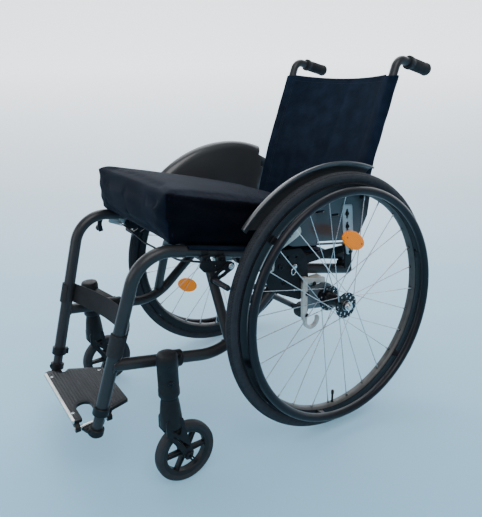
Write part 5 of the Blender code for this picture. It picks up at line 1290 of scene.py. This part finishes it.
def footplate():
    """Cast aluminium plate with a ribbed dark tread, raised rim and two hinge ears."""
    notch = arc(-0.046, 0.0365, 0.0155, -pi / 2.0, -1.5 * pi, 20)
    offsets = [(-0.229, 0.0), (-0.005, 0.0), (-0.001, 0.021), *notch, (-0.009, 0.052), (0.0, 0.073),
               (-0.014, 0.124), (-0.176, 0.124), (-0.218, 0.054), (-0.207, 0.043), (-0.214, 0.034),
               (-0.236, 0.014)]
    inset = [
        (-0.222, 0.0065), (-0.012, 0.0065), (-0.009, 0.015), (-0.049, 0.016), (-0.06, 0.0215),
        (-0.0665, 0.03), (-0.0665, 0.043), (-0.06, 0.0515), (-0.049, 0.057), (-0.016, 0.0575),
        (-0.0085, 0.074), (-0.02, 0.118), (-0.172, 0.118), (-0.211, 0.054), (-0.2, 0.043),
        (-0.2075, 0.032), (-0.227, 0.015),
    ]
    low = PLATE_LOW
    corner = (FLIP_X, PLATE_FRONT_Y)
    tread = flat_plate(soften(around(*corner, inset), 0.004), low + 0.0066, 0.0014, 0.0004)
    layer = tread.loops.layers.uv.verify()
    for face in tread.faces:
        for loop in face.loops:
            loop[layer].uv = loop.vert.co.xy
    front = PLATE_FRONT_Y + 0.0062
    parts = [
        flat_plate(soften(around(*corner, offsets), 0.005), low, 0.0074, 0.0014),
        (tread, 1),
        block((FLIP_X - 0.226, PLATE_FRONT_Y + 0.0002, low + 0.007),
              (FLIP_X - 0.006, front, low + 0.0079), 0.0004),
    ]
    bore = circle(FLIP_X, FLIP_Z, 0.0043)
    ear = capsule(FLIP_X, FLIP_Z, 0.0085, FLIP_X - 0.022, low + 0.002, 0.0045)
    for shift in (0.003, 0.069):
        y = PLATE_FRONT_Y + shift
        parts.append((prism(ear, [bore], Y * 0.01, lambda x, z: Vector((x, y, z)), 0.0008), 2))
    for x, y in around(*corner, [(-0.032, 0.01), (-0.032, 0.066), (-0.2, 0.012), (-0.165, 0.112)]):
        parts.append((bolt((x, y, low + 0.0076), Z, 0.0034, 0.0009), 3))
    bm = merge(parts)
    for face in bm.faces:
        if face.material_index == 0 and face.calc_center_median().y > front:
            face.material_index = 4
    finish("foot_tread", bm, [ALLOY, PLATE_TREAD, BLACK_CAST, STEEL, BLACK], "footrest_plate", "footplate")


def calf_strap():
    """Webbing wrapped round both front tubes, slack between them, with stitched ends."""
    reach = FRONT_TUBE_R + 0.0018
    deep = FRONT_CORNER[1] - FRONT_TUBE_LOW[1]
    fall = (FRONT_CORNER[0] - FRONT_TUBE_LOW[0]) / deep
    stations = [(1, radians(d), 0.0) for d in range(150, -91, -10)]
    stations += [(0, 0.0, 1.0 - 2.0 * k / 56.0) for k in range(1, 56)]
    stations += [(-1, radians(d), 0.0) for d in range(-90, 151, 10)]
    height = 0.0425

    def spot(station, v, out):
        side, angle, share = station
        z = STRAP_Z + (v - 0.5) * height
        drop = (FRONT_CORNER[1] - z) / deep
        y = FRONT_CORNER[0] + (FRONT_TUBE_LOW[0] - FRONT_CORNER[0]) * drop
        x = TUBE_X + (FRONT_FOOT_X - TUBE_X) * drop
        size = reach + out
        if side:
            along = -size * sin(angle)
            x = side * (x + size * cos(angle))
        else:
            slack = 1.0 - share * share
            droop = 0.049 * slack * (1.0 - 0.05 * (1.0 - abs(2.0 * v - 1.0)))
            ripple = noise.noise(Vector((share * 2.4, v * 1.3, 4.0))) * 0.0022 * slack
            along = size + droop + ripple
            x = share * x
            z = z - 0.0035 * slack * (1.0 - v)
        return Vector((x, y + along, z - fall * along))

    runs = lengths([spot(station, 0.5, 0.0) for station in stations])
    bm = two_skins(spot, stations, 14, (-SKIN_HALF, SKIN_HALF), runs, height)
    strap = finish("calf_band", bm, [WEBBING], "frame", "calf_strap", angle=50.0)
    seams = []
    for share in (0.8, 0.86, -0.8, -0.86):
        for j in range(16):
            a, b = (spot((0, 0.0, share), (j + part) / 16.0, 0.0013) for part in (0.15, 0.75))
            seams.append(stitch([a, (a + b) / 2.0 + Y * 0.0002, b], 0.00045))
    for v in (0.1, 0.9):
        for k in range(70):
            share = 0.92 - 1.84 * k / 69.0
            seams.append(stitch([spot((0, 0.0, s), v, 0.0012) for s in (share, share - 0.016)], 0.0004))
    finish("calf_band_seam", seams, [THREAD])


# Wheel lock


def lock_bracket(side, tag):
    offsets = [(-0.071, 0.012), (-0.064, 0.024), (0.006, 0.008)]
    offsets += [(0.012, 0.0), (0.007, -0.01), (-0.06, -0.002)]
    x = LOCK_X - GAP - LOCK_T
    holes = [circle(*LOCK, 0.0034, 20), circle(LOCK[0] - 0.034, LOCK[1] + 0.006, 0.0026, 18)]
    parts = [side_plate(side, x, LOCK_T, soften(around(*LOCK, offsets), 0.006), holes, 0.0007)]
    for y in (LOCK[0] - 0.052, LOCK[0] - 0.016):
        top = seat_z(y) - 0.004
        start = (TUBE_X + 0.004, y - 0.009, top - 0.0145)
        parts.append(span(side, start, (x + 0.001, y + 0.009, top), 0.0014))
        ends = seat_point(side, y - 0.0085), seat_point(side, y + 0.0085)
        parts.append(rod(*ends, SEAT_TUBE_R + 0.0019, 36, 0.0008))
        parts.append((side_bolt(side, LOCK_X - GAP - 0.0004, y, top - 0.0075, 0.0036, 0.0022, 0.0005), 1))
    finish("lock_mount_", parts, [BLACK_CAST, BLACK], "frame", "lock_bracket_", tag)


def lock_arm(side, tag):
    """Arm, pivot bolt and the knurled shoe that presses the tyre."""
    y, z = (LOCK[0] + SHOE[0]) / 2.0, (LOCK[1] + SHOE[1]) / 2.0
    hole = capsule(y + 0.006, z + 0.0028, 0.003, y - 0.008, z - 0.0038, 0.003, 8)
    parts = [side_plate(side, LOCK_X, LOCK_T, capsule(*LOCK, 0.0095, *SHOE, 0.0085), [hole], 0.0008)]
    outer = LOCK_X + 0.001
    stub = at(side, LOCK_X - GAP - LOCK_T - 0.001, *LOCK), at(side, outer, *LOCK)
    parts.append((rod(*stub, 0.003, 20), 1))
    parts.append((side_bolt(side, LOCK_X + LOCK_T - 0.0008, *LOCK, 0.006, 0.0036), 1))
    length = WHEEL_X + 0.004 - outer
    shoe = [(0.0045, 0.0), (0.0056, 0.0006), (0.0056, 0.012)]
    for k in range(11):
        reach = 0.0135 + k * (length - 0.017) / 11.0
        shoe += [(0.006, reach), (0.006, reach + 0.002), (0.0054, reach + 0.0026), (0.0054, reach + 0.003)]
    shoe += [(0.0058, length - 0.003), (0.0058, length - 0.001), (0.0048, length)]
    parts.append(turned(shoe, at(side, outer, *SHOE), X * side, 36))
    finish("lock_shoe_", parts, [BLACK, STEEL], "shoe_", "lock_arm_", tag)


def lever_plate():
    offsets = [(-0.031, 0.0), (-0.017, 0.016), (0.017, 0.01), (0.051, 0.0), (0.055, -0.016), (0.005, -0.016)]
    x = LEVER_X - GAP - LOCK_T
    holes = [circle(*LEVER, 0.0034, 20), circle(LEVER[0] + 0.03, LEVER[1] - 0.006, 0.003, 18)]
    y0, y1 = LEVER[0] + 0.035, LEVER[0] + 0.049
    parts = [
        side_plate(-1, x, LOCK_T, soften(around(*LEVER, offsets), 0.005), holes, 0.0006),
        block((-x - 0.001, y0, LEVER[1] - 0.015), (-LOCK_X, y1, LEVER[1] - 0.003)),
        (side_bolt(-1, LEVER_X - GAP - 0.0004, (y0 + y1) / 2.0, LEVER[1] - 0.009, 0.0032, 0.0022), 1),
    ]
    finish("lever_mount", parts, [ALLOY, STEEL], "frame", "lever_plate")


def curve_through(points, steps):
    """Smooth line through every point."""
    line = []
    for i in range(len(points) - 1):
        p, a, b, n = (points[min(len(points) - 1, max(0, i + k))] for k in (-1, 0, 1, 2))
        for k in range(steps):
            t = k / steps
            bend = (2.0 * p - 5.0 * a + 4.0 * b - n) * (t * t) + (3.0 * a - p - 3.0 * b + n) * (t * t * t)
            line.append(0.5 * (2.0 * a + (b - p) * t + bend))
    return line + [points[-1]]


def lever():
    """Curved hand lever with lightening holes, pivot and knob."""
    bends = [(0.0, 0.0), (-0.005, 0.022), (-0.021, 0.028), (-0.038, 0.02), (-0.049, 0.0), (-0.047, -0.022)]
    spine = curve_through([Vector(p) for p in around(*LEVER, bends)], 6)
    left, right = [], []
    for before, p, after in zip(spine[:1] + spine, spine, spine[1:] + spine[-1:]):
        run = (after - before).normalized()
        out = Vector((-run.y, run.x)) * 0.0055
        left.append(tuple(p + out))
        right.append(tuple(p - out))
    holes = [circle(*spine[k], 0.0022, 14) for k in (9, 12, 15, 18, 21)]
    boss = [(0.008, 0.0), (0.0095, 0.0006), (0.0095, 0.0036)]
    boss += [(0.0086, 0.0042), (0.005, 0.0042), (0.0046, 0.003)]
    knob = [(0.004, 0.0), (0.0062, 0.0016), (0.0078, 0.005), (0.0085, 0.01), (0.0083, 0.013),
            (0.006, 0.0165), (0.0025, 0.0172)]
    tip = (-LEVER_X - LOCK_T + 0.001, LEVER[0] - 0.048, LEVER[1] - 0.015)
    parts = [
        side_plate(-1, LEVER_X, LOCK_T, left + right[::-1], holes, 0.0007),
        turned(boss, (-LEVER_X, *LEVER), -X, 36),
        (rod((-LEVER_X - 0.001, *LEVER), (GAP + LOCK_T + 0.001 - LEVER_X, *LEVER), 0.003, 20), 1),
        (turned(knob, tip, -X, 32), 2),
    ]
    finish("hand_lever_bar", parts, [BLACK, STEEL, GRIP], "hand_lever", "lock_lever")


def brake_line():
    """Cable with end fittings from the lever's plate to the other side's bracket."""
    gaps = LOCK_T + 2.0 * GAP
    lever_end = (LEVER[0] + 0.002, LEVER[1] - 0.008)
    lock_end = (LOCK[0] - 0.034, LOCK[1] + 0.003)
    corners = [(gaps - LEVER_X, *lever_end), (-0.165, *lever_end), (-0.08, -0.32, 0.42),
               (0.08, -0.312, 0.42), (0.16, *lock_end), (LOCK_X - gaps, *lock_end)]
    path = rounded(corners, [0.03, 0.04, 0.04, 0.03], 14)
    cable = finish("lock_cable", sweep(path, 0.0024, 14, Y), [PLASTIC], "frame", "brake_cable")
    fitting = [(0.0026, 0.0), (0.0034, 0.0006), (0.0034, 0.006), (0.0042, 0.0066), (0.0042, 0.01),
               (0.0034, 0.0106), (0.003, 0.02), (0.0025, 0.021)]
    ends = [turned(fitting, a, b - a, SMOOTH) for a, b in (path[:2], path[:-3:-1])]
    finish("lock_cable_ends", ends, [STEEL])


# Anti-tip


def tip_arm():
    ring = mirrored([(0.01935, -0.012), (0.024, -0.012), (0.025, -0.011)])
    yoke = (TIP_WHEEL[0] - 0.04, TIP_WHEEL[1] + 0.027)
    corners = [(TIP_X, 0.0, AXLE_Z - 0.0215), (TIP_X, 0.014, 0.212), (TIP_X, *yoke)]
    parts = [
        (turned(ring, (TIP_X, 0.0, AXLE_Z), X, 56, closed=True), 1),
        sweep(rounded(corners, [0.03], 12), 0.009),
        (rod((TIP_X, 0.0055, 0.2545), (TIP_X, 0.0095, 0.234), 0.0112, 36, 0.001), 1),
        (bolt((TIP_X + 0.01, 0.0075, 0.2445), X, 0.0032, 0.003), 2),
    ]
    fork = capsule(*TIP_WHEEL, 0.008, *yoke, 0.0085)
    for x in (-0.0145, 0.0115):
        parts.append((side_plate(1, TIP_X + x, PLATE_T, fork, [circle(*TIP_WHEEL, 0.0034, 16)], 0.0006), 1))
    parts.append((rod((TIP_X - 0.013, *yoke), (TIP_X + 0.013, *yoke), 0.0085, 28), 1))
    parts.append((bolt((TIP_X, yoke[0] - 0.03, yoke[1] + 0.0345), (0, 0.55, 0.83), 0.0034, 0.002), 2))
    finish("tip_arm_bar", parts, [TUBE, BLACK_CAST, STEEL], "tip_arm", "anti_tip_arm")


def tip_wheel():
    profile = mirrored([(0.003, -0.0142), (0.003, -0.01), (0.012, -0.01), (0.0135, -0.0088),
                        (0.018, -0.0088), (0.0195, -0.01), (0.022, -0.01), (0.0245, -0.0078),
                        (0.025, -0.005)])
    roller = turned(profile, (TIP_X, *TIP_WHEEL), X, 64)
    finish("tip_roller_wheel", roller, [CASTER_TYRE], "tip_roller", "anti_tip_wheel")


# Upholstery


def back_line(z):
    a, b = (BACK_BASE, BACK_MID) if z < BACK_MID[1] else (BACK_MID, BACK_TOP)
    return a[0] + (b[0] - a[0]) * (z - a[1]) / (b[1] - a[1])


def bell(value, width):
    return exp(-((value / width) ** 2))


def clamp(value):
    return min(1.0, max(0.0, value))


def back_spot(u, v, lift=0.0):
    """Front face of the back cloth; u from -1 to 1 across, v from 0 to 1 upwards."""
    z = FABRIC_LOW_Z + (FABRIC_TOP_Z - FABRIC_LOW_Z) * v
    bow = 1.0 - u * u
    sag = FABRIC_SAG * (bow**0.85) * (0.55 + 0.45 * v)
    step = clamp(v * 1.6)
    crease = 0.0022 * bell(u - 0.16 - 0.05 * v, 0.055) * (step * step * (3.0 - 2.0 * step))
    soft = noise.noise(Vector((u * 2.2, v * 2.6, 7.0))) * 0.0026
    soft += noise.noise(Vector((u * 5.0, v * 1.6, 2.0))) * 0.0011
    pulls = sin(v * 26.0 + 1.4 * sin(v * 9.0)) * 0.0008 * bell(abs(u) - 0.86, 0.09)
    run = crease + soft * bow + pulls
    x = u * (BACK_X - BACK_TUBE_R - 0.0005)
    return Vector((x, back_line(z) - BACK_TUBE_R + sag + run + lift, z - 0.011 * bow * v**6))


def backrest():
    """One sheet stretched between the back tubes and sleeved round each of them, with its seams and hems."""
    cols, turns = 72, 20
    wrap = BACK_TUBE_R + 0.0032
    height = FABRIC_TOP_Z - FABRIC_LOW_Z
    edge_u = 0.985

    def station(i, v, out):
        if 0 <= i <= cols:
            return back_spot((-1.0 + 2.0 * i / cols) * edge_u, v, -out)
        side, k = (1, i - cols) if i > cols else (-1, -i)
        z = FABRIC_LOW_Z + height * v
        angle = radians(-100.0 + 292.0 * k / turns)
        size = wrap + out + 0.0005 * sin(v * 31.0 + k * 0.9) * sin(pi * k / turns)
        return Vector((side * (BACK_X + size * cos(angle)), back_line(z) + size * sin(angle), z))

    order = range(-turns, cols + turns + 1)
    runs = lengths([station(i, 0.5, 0.0) for i in order])
    bm = two_skins(station, order, 60, (SKIN_HALF, -SKIN_HALF), runs, height)
    cloth = finish("back_cloth", bm, [BACK_CLOTH], "back", "backrest", angle=60.0)
    parts = (0.2, 0.75)
    lift = -0.0013
    seams = []
    for u in (-0.955, -0.925, 0.925, 0.955):
        seams += [stitch([back_spot(u, (k + part) / 90.0, lift) for part in parts]) for k in range(90)]
    for v in (0.965, 0.045):
        for k in range(96):
            ends = [back_spot(-0.93 + 1.86 * (k + part) / 96.0, v, lift) for part in parts]
            seams.append(stitch(ends, hint=Y))
    finish("back_cloth_seam", seams, [THREAD], "back")
    hems = []
    for v, rise in ((1.0, 0.0009), (0.0, -0.0009)):
        line = [back_spot(-edge_u + 2.0 * edge_u * k / 80.0, v) + Z * rise for k in range(81)]
        hems.append(sweep(line, 0.0019, 10, Y))
    finish("back_cloth_hem", hems, [THREAD], "back")


def sling():
    """Seat sheet over the seat tubes with its edges turned down."""
    out = TUBE_X + SEAT_TUBE_R + 0.0012
    level = SEAT_TOP + 0.0016
    y0, y1 = FRONT_TUBE_END[0] + 0.0055, 0.029
    half = 0.0009
    rows, cols, turned_down = 60, 64, 2

    def spot(i, v, lift):
        y = y0 + (y1 - y0) * v
        if i < 0 or i > cols:
            side, k = (1, i - cols) if i > cols else (-1, -i)
            return at(side, out + lift, y, seat_z(y) + level - 0.0045 * k / turned_down)
        u = -1.0 + 2.0 * i / cols
        ripple = 0.0004 * noise.noise(Vector((u * 3.0, v * rows * 0.14, 1.0))) * (1.0 - u**8)
        return Vector((u * out, y, seat_z(y) + level + lift + ripple))

    order = range(-turned_down, cols + turned_down + 1)
    runs = [2.0 * out / cols * k for k in range(len(order))]
    bm = two_skins(spot, order, rows, (half, -half), runs, y1 - y0)
    sheet = finish("seat_sheet", bm, [BACK_CLOTH], "frame", "seat_sling", angle=60.0)


def cushion_form(shrink):
    """Crowned cushion with drawn-in sides, a little under its real size so that it can swell."""
    y_front, y_rear = -0.388, 0.014
    rows, across, corner = 40, 34, 6
    edge = 0.011
    quarter = pi / 2.0
    rings = []
    for i in range(rows + 1):
        share = 0.5 - 0.5 * cos(pi * i / rows)
        y = y_front + shrink + (y_rear - y_front - 2.0 * shrink) * share
        thick = 0.099 + 0.009 * (1.0 - share)
        lip = min(share, 1.0 - share) * (y_rear - y_front)
        inset = edge - sqrt(edge**2 - (edge - lip) ** 2) if lip < edge else 0.0
        bow = sin(pi * share)
        half = 0.195 - 0.0065 * clamp((share - 0.25) / 0.3)
        wide = half - 0.004 * bow - inset - shrink
        low = seat_z(y) + SEAT_TOP + 0.0036
        base, top = low + inset * 0.8, low + thick - inset - shrink
        crown = 0.012 * bow**0.6
        radius = max(0.004, 0.01 - inset)
        flat = wide - radius
        rise = top - base - 2.0 * radius
        ring = [(-flat + 2.0 * flat * k / across, base) for k in range(across + 1)]
        ring += arc(flat, base + radius, radius, -quarter, 0.0, corner)[1:]
        ring += [(wide, base + radius + rise * k / 4) for k in range(1, 4)]
        ring += arc(flat, top - radius, radius, 0.0, quarter, corner)
        shares = [1.0 - 2.0 * k / across for k in range(1, across)]
        ring += [(u * flat, top + crown * (1.0 - u * u)) for u in shares]
        ring += arc(-flat, top - radius, radius, quarter, pi, corner)
        ring += [(-wide, top - radius - rise * k / 4) for k in range(1, 4)]
        ring += arc(-flat, base + radius, radius, pi, 3.0 * quarter, corner)[:-1]
        rings.append([(x, y + DATUM_Y, z) for x, z in ring])
    bm = loft(rings)
    bmesh.ops.recalc_face_normals(bm, faces=bm.faces)
    return bm


def apply(obj, kind, **settings):
    modifier = obj.modifiers.new(kind.lower(), kind)
    for key, value in settings.items():
        setattr(modifier, key, value)
    bpy.ops.object.modifier_apply(modifier=modifier.name)


def swell(obj, cap):
    """Swell a closed mesh by cloth pressure, no point further than cap."""
    count = len(obj.data.vertices) * 3
    start = np.empty(count)
    obj.data.vertices.foreach_get("co", start)
    cloth = obj.modifiers.new("cloth", "CLOTH")
    cloth.settings.use_pressure = True
    cloth.settings.uniform_pressure_force = 4.0
    cloth.settings.effector_weights.gravity = 0.0
    cloth.settings.quality = 5
    cloth.settings.tension_stiffness = 12.0
    cloth.settings.bending_stiffness = 0.4
    scene = bpy.context.scene
    for step in range(1, 21):
        scene.frame_set(step)
    view = obj.evaluated_get(bpy.context.evaluated_depsgraph_get())
    grown = np.empty(count)
    view.data.vertices.foreach_get("co", grown)
    obj.modifiers.remove(cloth)
    scene.frame_set(1)
    move = (grown - start).reshape(-1, 3)
    length = np.linalg.norm(move, axis=1, keepdims=True)
    move *= np.minimum(1.0, cap / np.maximum(length, 1e-9))
    obj.data.vertices.foreach_set("co", (start.reshape(-1, 3) + move).ravel())
    obj.data.update()


def wrinkle(co, n, height, up):
    """How far the cover lifts at a point with normal n, height above the sling."""
    y = co.y - DATUM_Y
    side = clamp(1.0 - abs(n.dot(up)) * 1.3)
    if n.y < -0.35:
        line = co.x * 22.0 + 5.0 * noise.noise(Vector((co.x * 9.0, co.z * 6.0, 1.0)))
        push = 0.0013 * sin(line + height * 60.0) * side
        push += 0.0016 * noise.noise(Vector((co.x * 16.0, 3.0, co.z * 42.0))) * side
    elif abs(n.x) > 0.35:
        push = 0.0012 * noise.noise(Vector((5.0, y * 14.0, co.z * 40.0))) * side
    else:
        push = 0.001 * noise.noise(Vector((co.x * 12.0, y * 9.0, 0.0)))
    corner = bell(abs(co.x) - 0.165, 0.05) * bell(y + 0.36, 0.05)
    return push + 0.0016 * corner * sin(height * 190.0 + co.x * 60.0) * side


def cushion():
    """Foam cushion in a stretch cover: swollen by cloth pressure, rested on the sling, wrinkled."""
    bm = cushion_form(0.003)
    mesh = bpy.data.meshes.new("seat_pad")
    bm.to_mesh(mesh)
    bm.free()
    mesh.materials.append(COVER)
    mesh.materials.append(SIDE_COVER)
    pad = bpy.data.objects.new("seat_pad", mesh)
    bpy.context.scene.collection.objects.link(pad)
    bpy.context.view_layer.objects.active = pad
    apply(pad, "REMESH", mode="VOXEL", voxel_size=0.005)
    swell(pad, 0.005)
    apply(pad, "SUBSURF", levels=1, render_levels=1)
    mesh = pad.data
    slope = atan(SEAT_SLOPE)
    up = Vector((0.0, sin(slope), cos(slope)))
    moved = []
    for co, n in [(v.co.copy(), v.normal.copy()) for v in mesh.vertices]:
        floor = seat_z(co.y - DATUM_Y) + SEAT_TOP + 0.003
        spot = co + n * wrinkle(co, n, co.z - floor, up)
        moved.extend((spot.x, spot.y, max(spot.z, floor)))
    mesh.vertices.foreach_set("co", moved)
    mesh.update()
    mesh.shade_smooth()
    for face in mesh.polygons:
        if abs(face.normal.x) > 0.62:
            face.material_index = 1
    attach(pad, "frame")
    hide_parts("cushion")


# Camera, light and stage

# Colours and glow strengths of the backdrop's painted light, from near the camera to the far wall
BACKDROP_NEAR = (0.13, 0.36, 0.52)
BACKDROP_FAR = (0.8, 0.82, 0.85)
BACKDROP_GLOW = 1.7
BACKDROP_BASE_GLOW = 0.53
BACKDROP_FADE = (-1.2, 5.4)
BACKDROP_WIDE = 60.0
SWEEP_START = 1.6
SWEEP_R = 3.0
WALL_TOP = 9.0
AHEAD = Vector((-sin(CAMERA_AZIMUTH), cos(CAMERA_AZIMUTH), 0.0))
ACROSS = Vector((cos(CAMERA_AZIMUTH), sin(CAMERA_AZIMUTH), 0.0))


def camera():
    """The photograph's own view."""
    back = Z * sin(CAMERA_ELEVATION) - AHEAD * cos(CAMERA_ELEVATION)
    up = back.cross(ACROSS)
    across = ACROSS * cos(CAMERA_ROLL) + up * sin(CAMERA_ROLL)
    upward = up * cos(CAMERA_ROLL) - ACROSS * sin(CAMERA_ROLL)
    place = Vector(CAMERA_TARGET) + Y * DATUM_Y + back * CAMERA_DISTANCE
    data = bpy.data.cameras.new("camera")
    data.sensor_fit = "HORIZONTAL"
    data.sensor_width = SENSOR_MM
    data.lens = SENSOR_MM * FOCAL_PX / PHOTO_WIDE
    data.shift_x = -CENTRE_PX[0] / PHOTO_WIDE
    data.shift_y = CENTRE_PX[1] / PHOTO_WIDE
    data.clip_end = 200.0
    obj = bpy.data.objects.new("camera", data)
    obj.matrix_world = Matrix.Translation(place) @ Matrix((across, upward, back)).transposed().to_4x4()
    bpy.context.scene.collection.objects.link(obj)
    bpy.context.scene.camera = obj


def backdrop():
    """Seamless pale sweep: floor that curves up into a wall behind the chair; it glows with painted light,
    dimmer and bluer near the camera, brighter and paler towards the wall.
    """
    line = [(-BACKDROP_WIDE, 0.0), (-4.0, 0.0), (SWEEP_START, 0.0)]
    line += arc(SWEEP_START, SWEEP_R, SWEEP_R, -pi / 2.0, 0.0, 32)[1:]
    line.append((SWEEP_START + SWEEP_R, WALL_TOP))
    sides = (-BACKDROP_WIDE, BACKDROP_WIDE)
    verts = [AHEAD * reach + ACROSS * side + Z * z for reach, z in line for side in sides]
    faces = [(2 * k, 2 * k + 1, 2 * k + 3, 2 * k + 2) for k in range(len(line) - 1)]
    mesh = bpy.data.meshes.new("backdrop")
    mesh.from_pydata(verts, [], faces)
    mesh.shade_smooth()
    g = Graph("backdrop", (0.4, 0.52, 0.6), 0.85)
    x, y, z = g.split("Object")
    # Colour and glow rise with distance from the camera: painted light, the sweep glowing brighter towards
    # the wall instead of being lit; the noise makes the painted glow patchy.
    rise = g.plus(g.plus(g.times(x, AHEAD.x), g.times(y, AHEAD.y)), g.times(z, 2.0))
    patchy_glow = g.times(g.noise(0.8, 2.0), 0.06)
    share = g.spread(g.plus(rise, patchy_glow), 0.0, 1.0, *BACKDROP_FADE)
    g.shade("Emission Color", g.tint(share, BACKDROP_NEAR, BACKDROP_FAR))
    glow = g.plus(g.times(g.math("POWER", share, 2.0), BACKDROP_GLOW), BACKDROP_BASE_GLOW)
    g.shade("Emission Strength", glow)
    mesh.materials.append(g.mat)
    obj = bpy.data.objects.new("backdrop", mesh)
    bpy.context.scene.collection.objects.link(obj)


def studio():
    """Even pale surroundings, a broad key from above the camera's right and softer fills."""
    world = bpy.data.worlds.new("world")
    world.use_nodes = True
    back = world.node_tree.nodes["Background"]
    back.inputs["Color"].default_value = (0.8, 0.86, 0.92, 1.0)
    back.inputs["Strength"].default_value = 0.38
    bpy.context.scene.world = world
    aim = Vector((0.0, 0.05, 0.4))
    lights = (
        ("key", (1.9, -0.6, 2.7), (2.2, 2.2), 54.0, (1.0, 0.99, 0.97)),
        ("front", (0.4, -2.8, 1.5), (2.0, 1.6), 22.0, (0.96, 0.98, 1.0)),
        ("top", (-1.0, 0.6, 3.0), (2.4, 2.4), 46.0, (0.97, 0.99, 1.0)),
    )
    for name, place, size, power, colour in lights:
        data = bpy.data.lights.new(name, "AREA")
        data.shape = "RECTANGLE"
        data.size, data.size_y = size
        data.energy = power
        data.color = colour
        obj = bpy.data.objects.new(name, data)
        obj.location = place
        obj.rotation_euler = (aim - Vector(place)).to_track_quat("-Z", "Y").to_euler()
        bpy.context.scene.collection.objects.link(obj)


PAIRED = (
    tyre, rim, spokes, hub, push_rim, axle_end, reflector, front_bar, seat_bar, lower_bar, foot_bar, gusset,
    ring_pin, back_arm, back_bar, push_handle, guard, guard_bracket, axle_clamp, caster_housing, caster_fork,
    caster_wheel, lock_bracket, lock_arm,
)
SINGLE = (
    arch, axle_bar, footplate, calf_strap, lever_plate, lever, brake_line, tip_arm, tip_wheel, backrest,
    sling, cushion,
)
backdrop()
camera()
studio()
for make in PAIRED:
    make(1, "l")
    make(-1, "r")
for make in SINGLE:
    make()
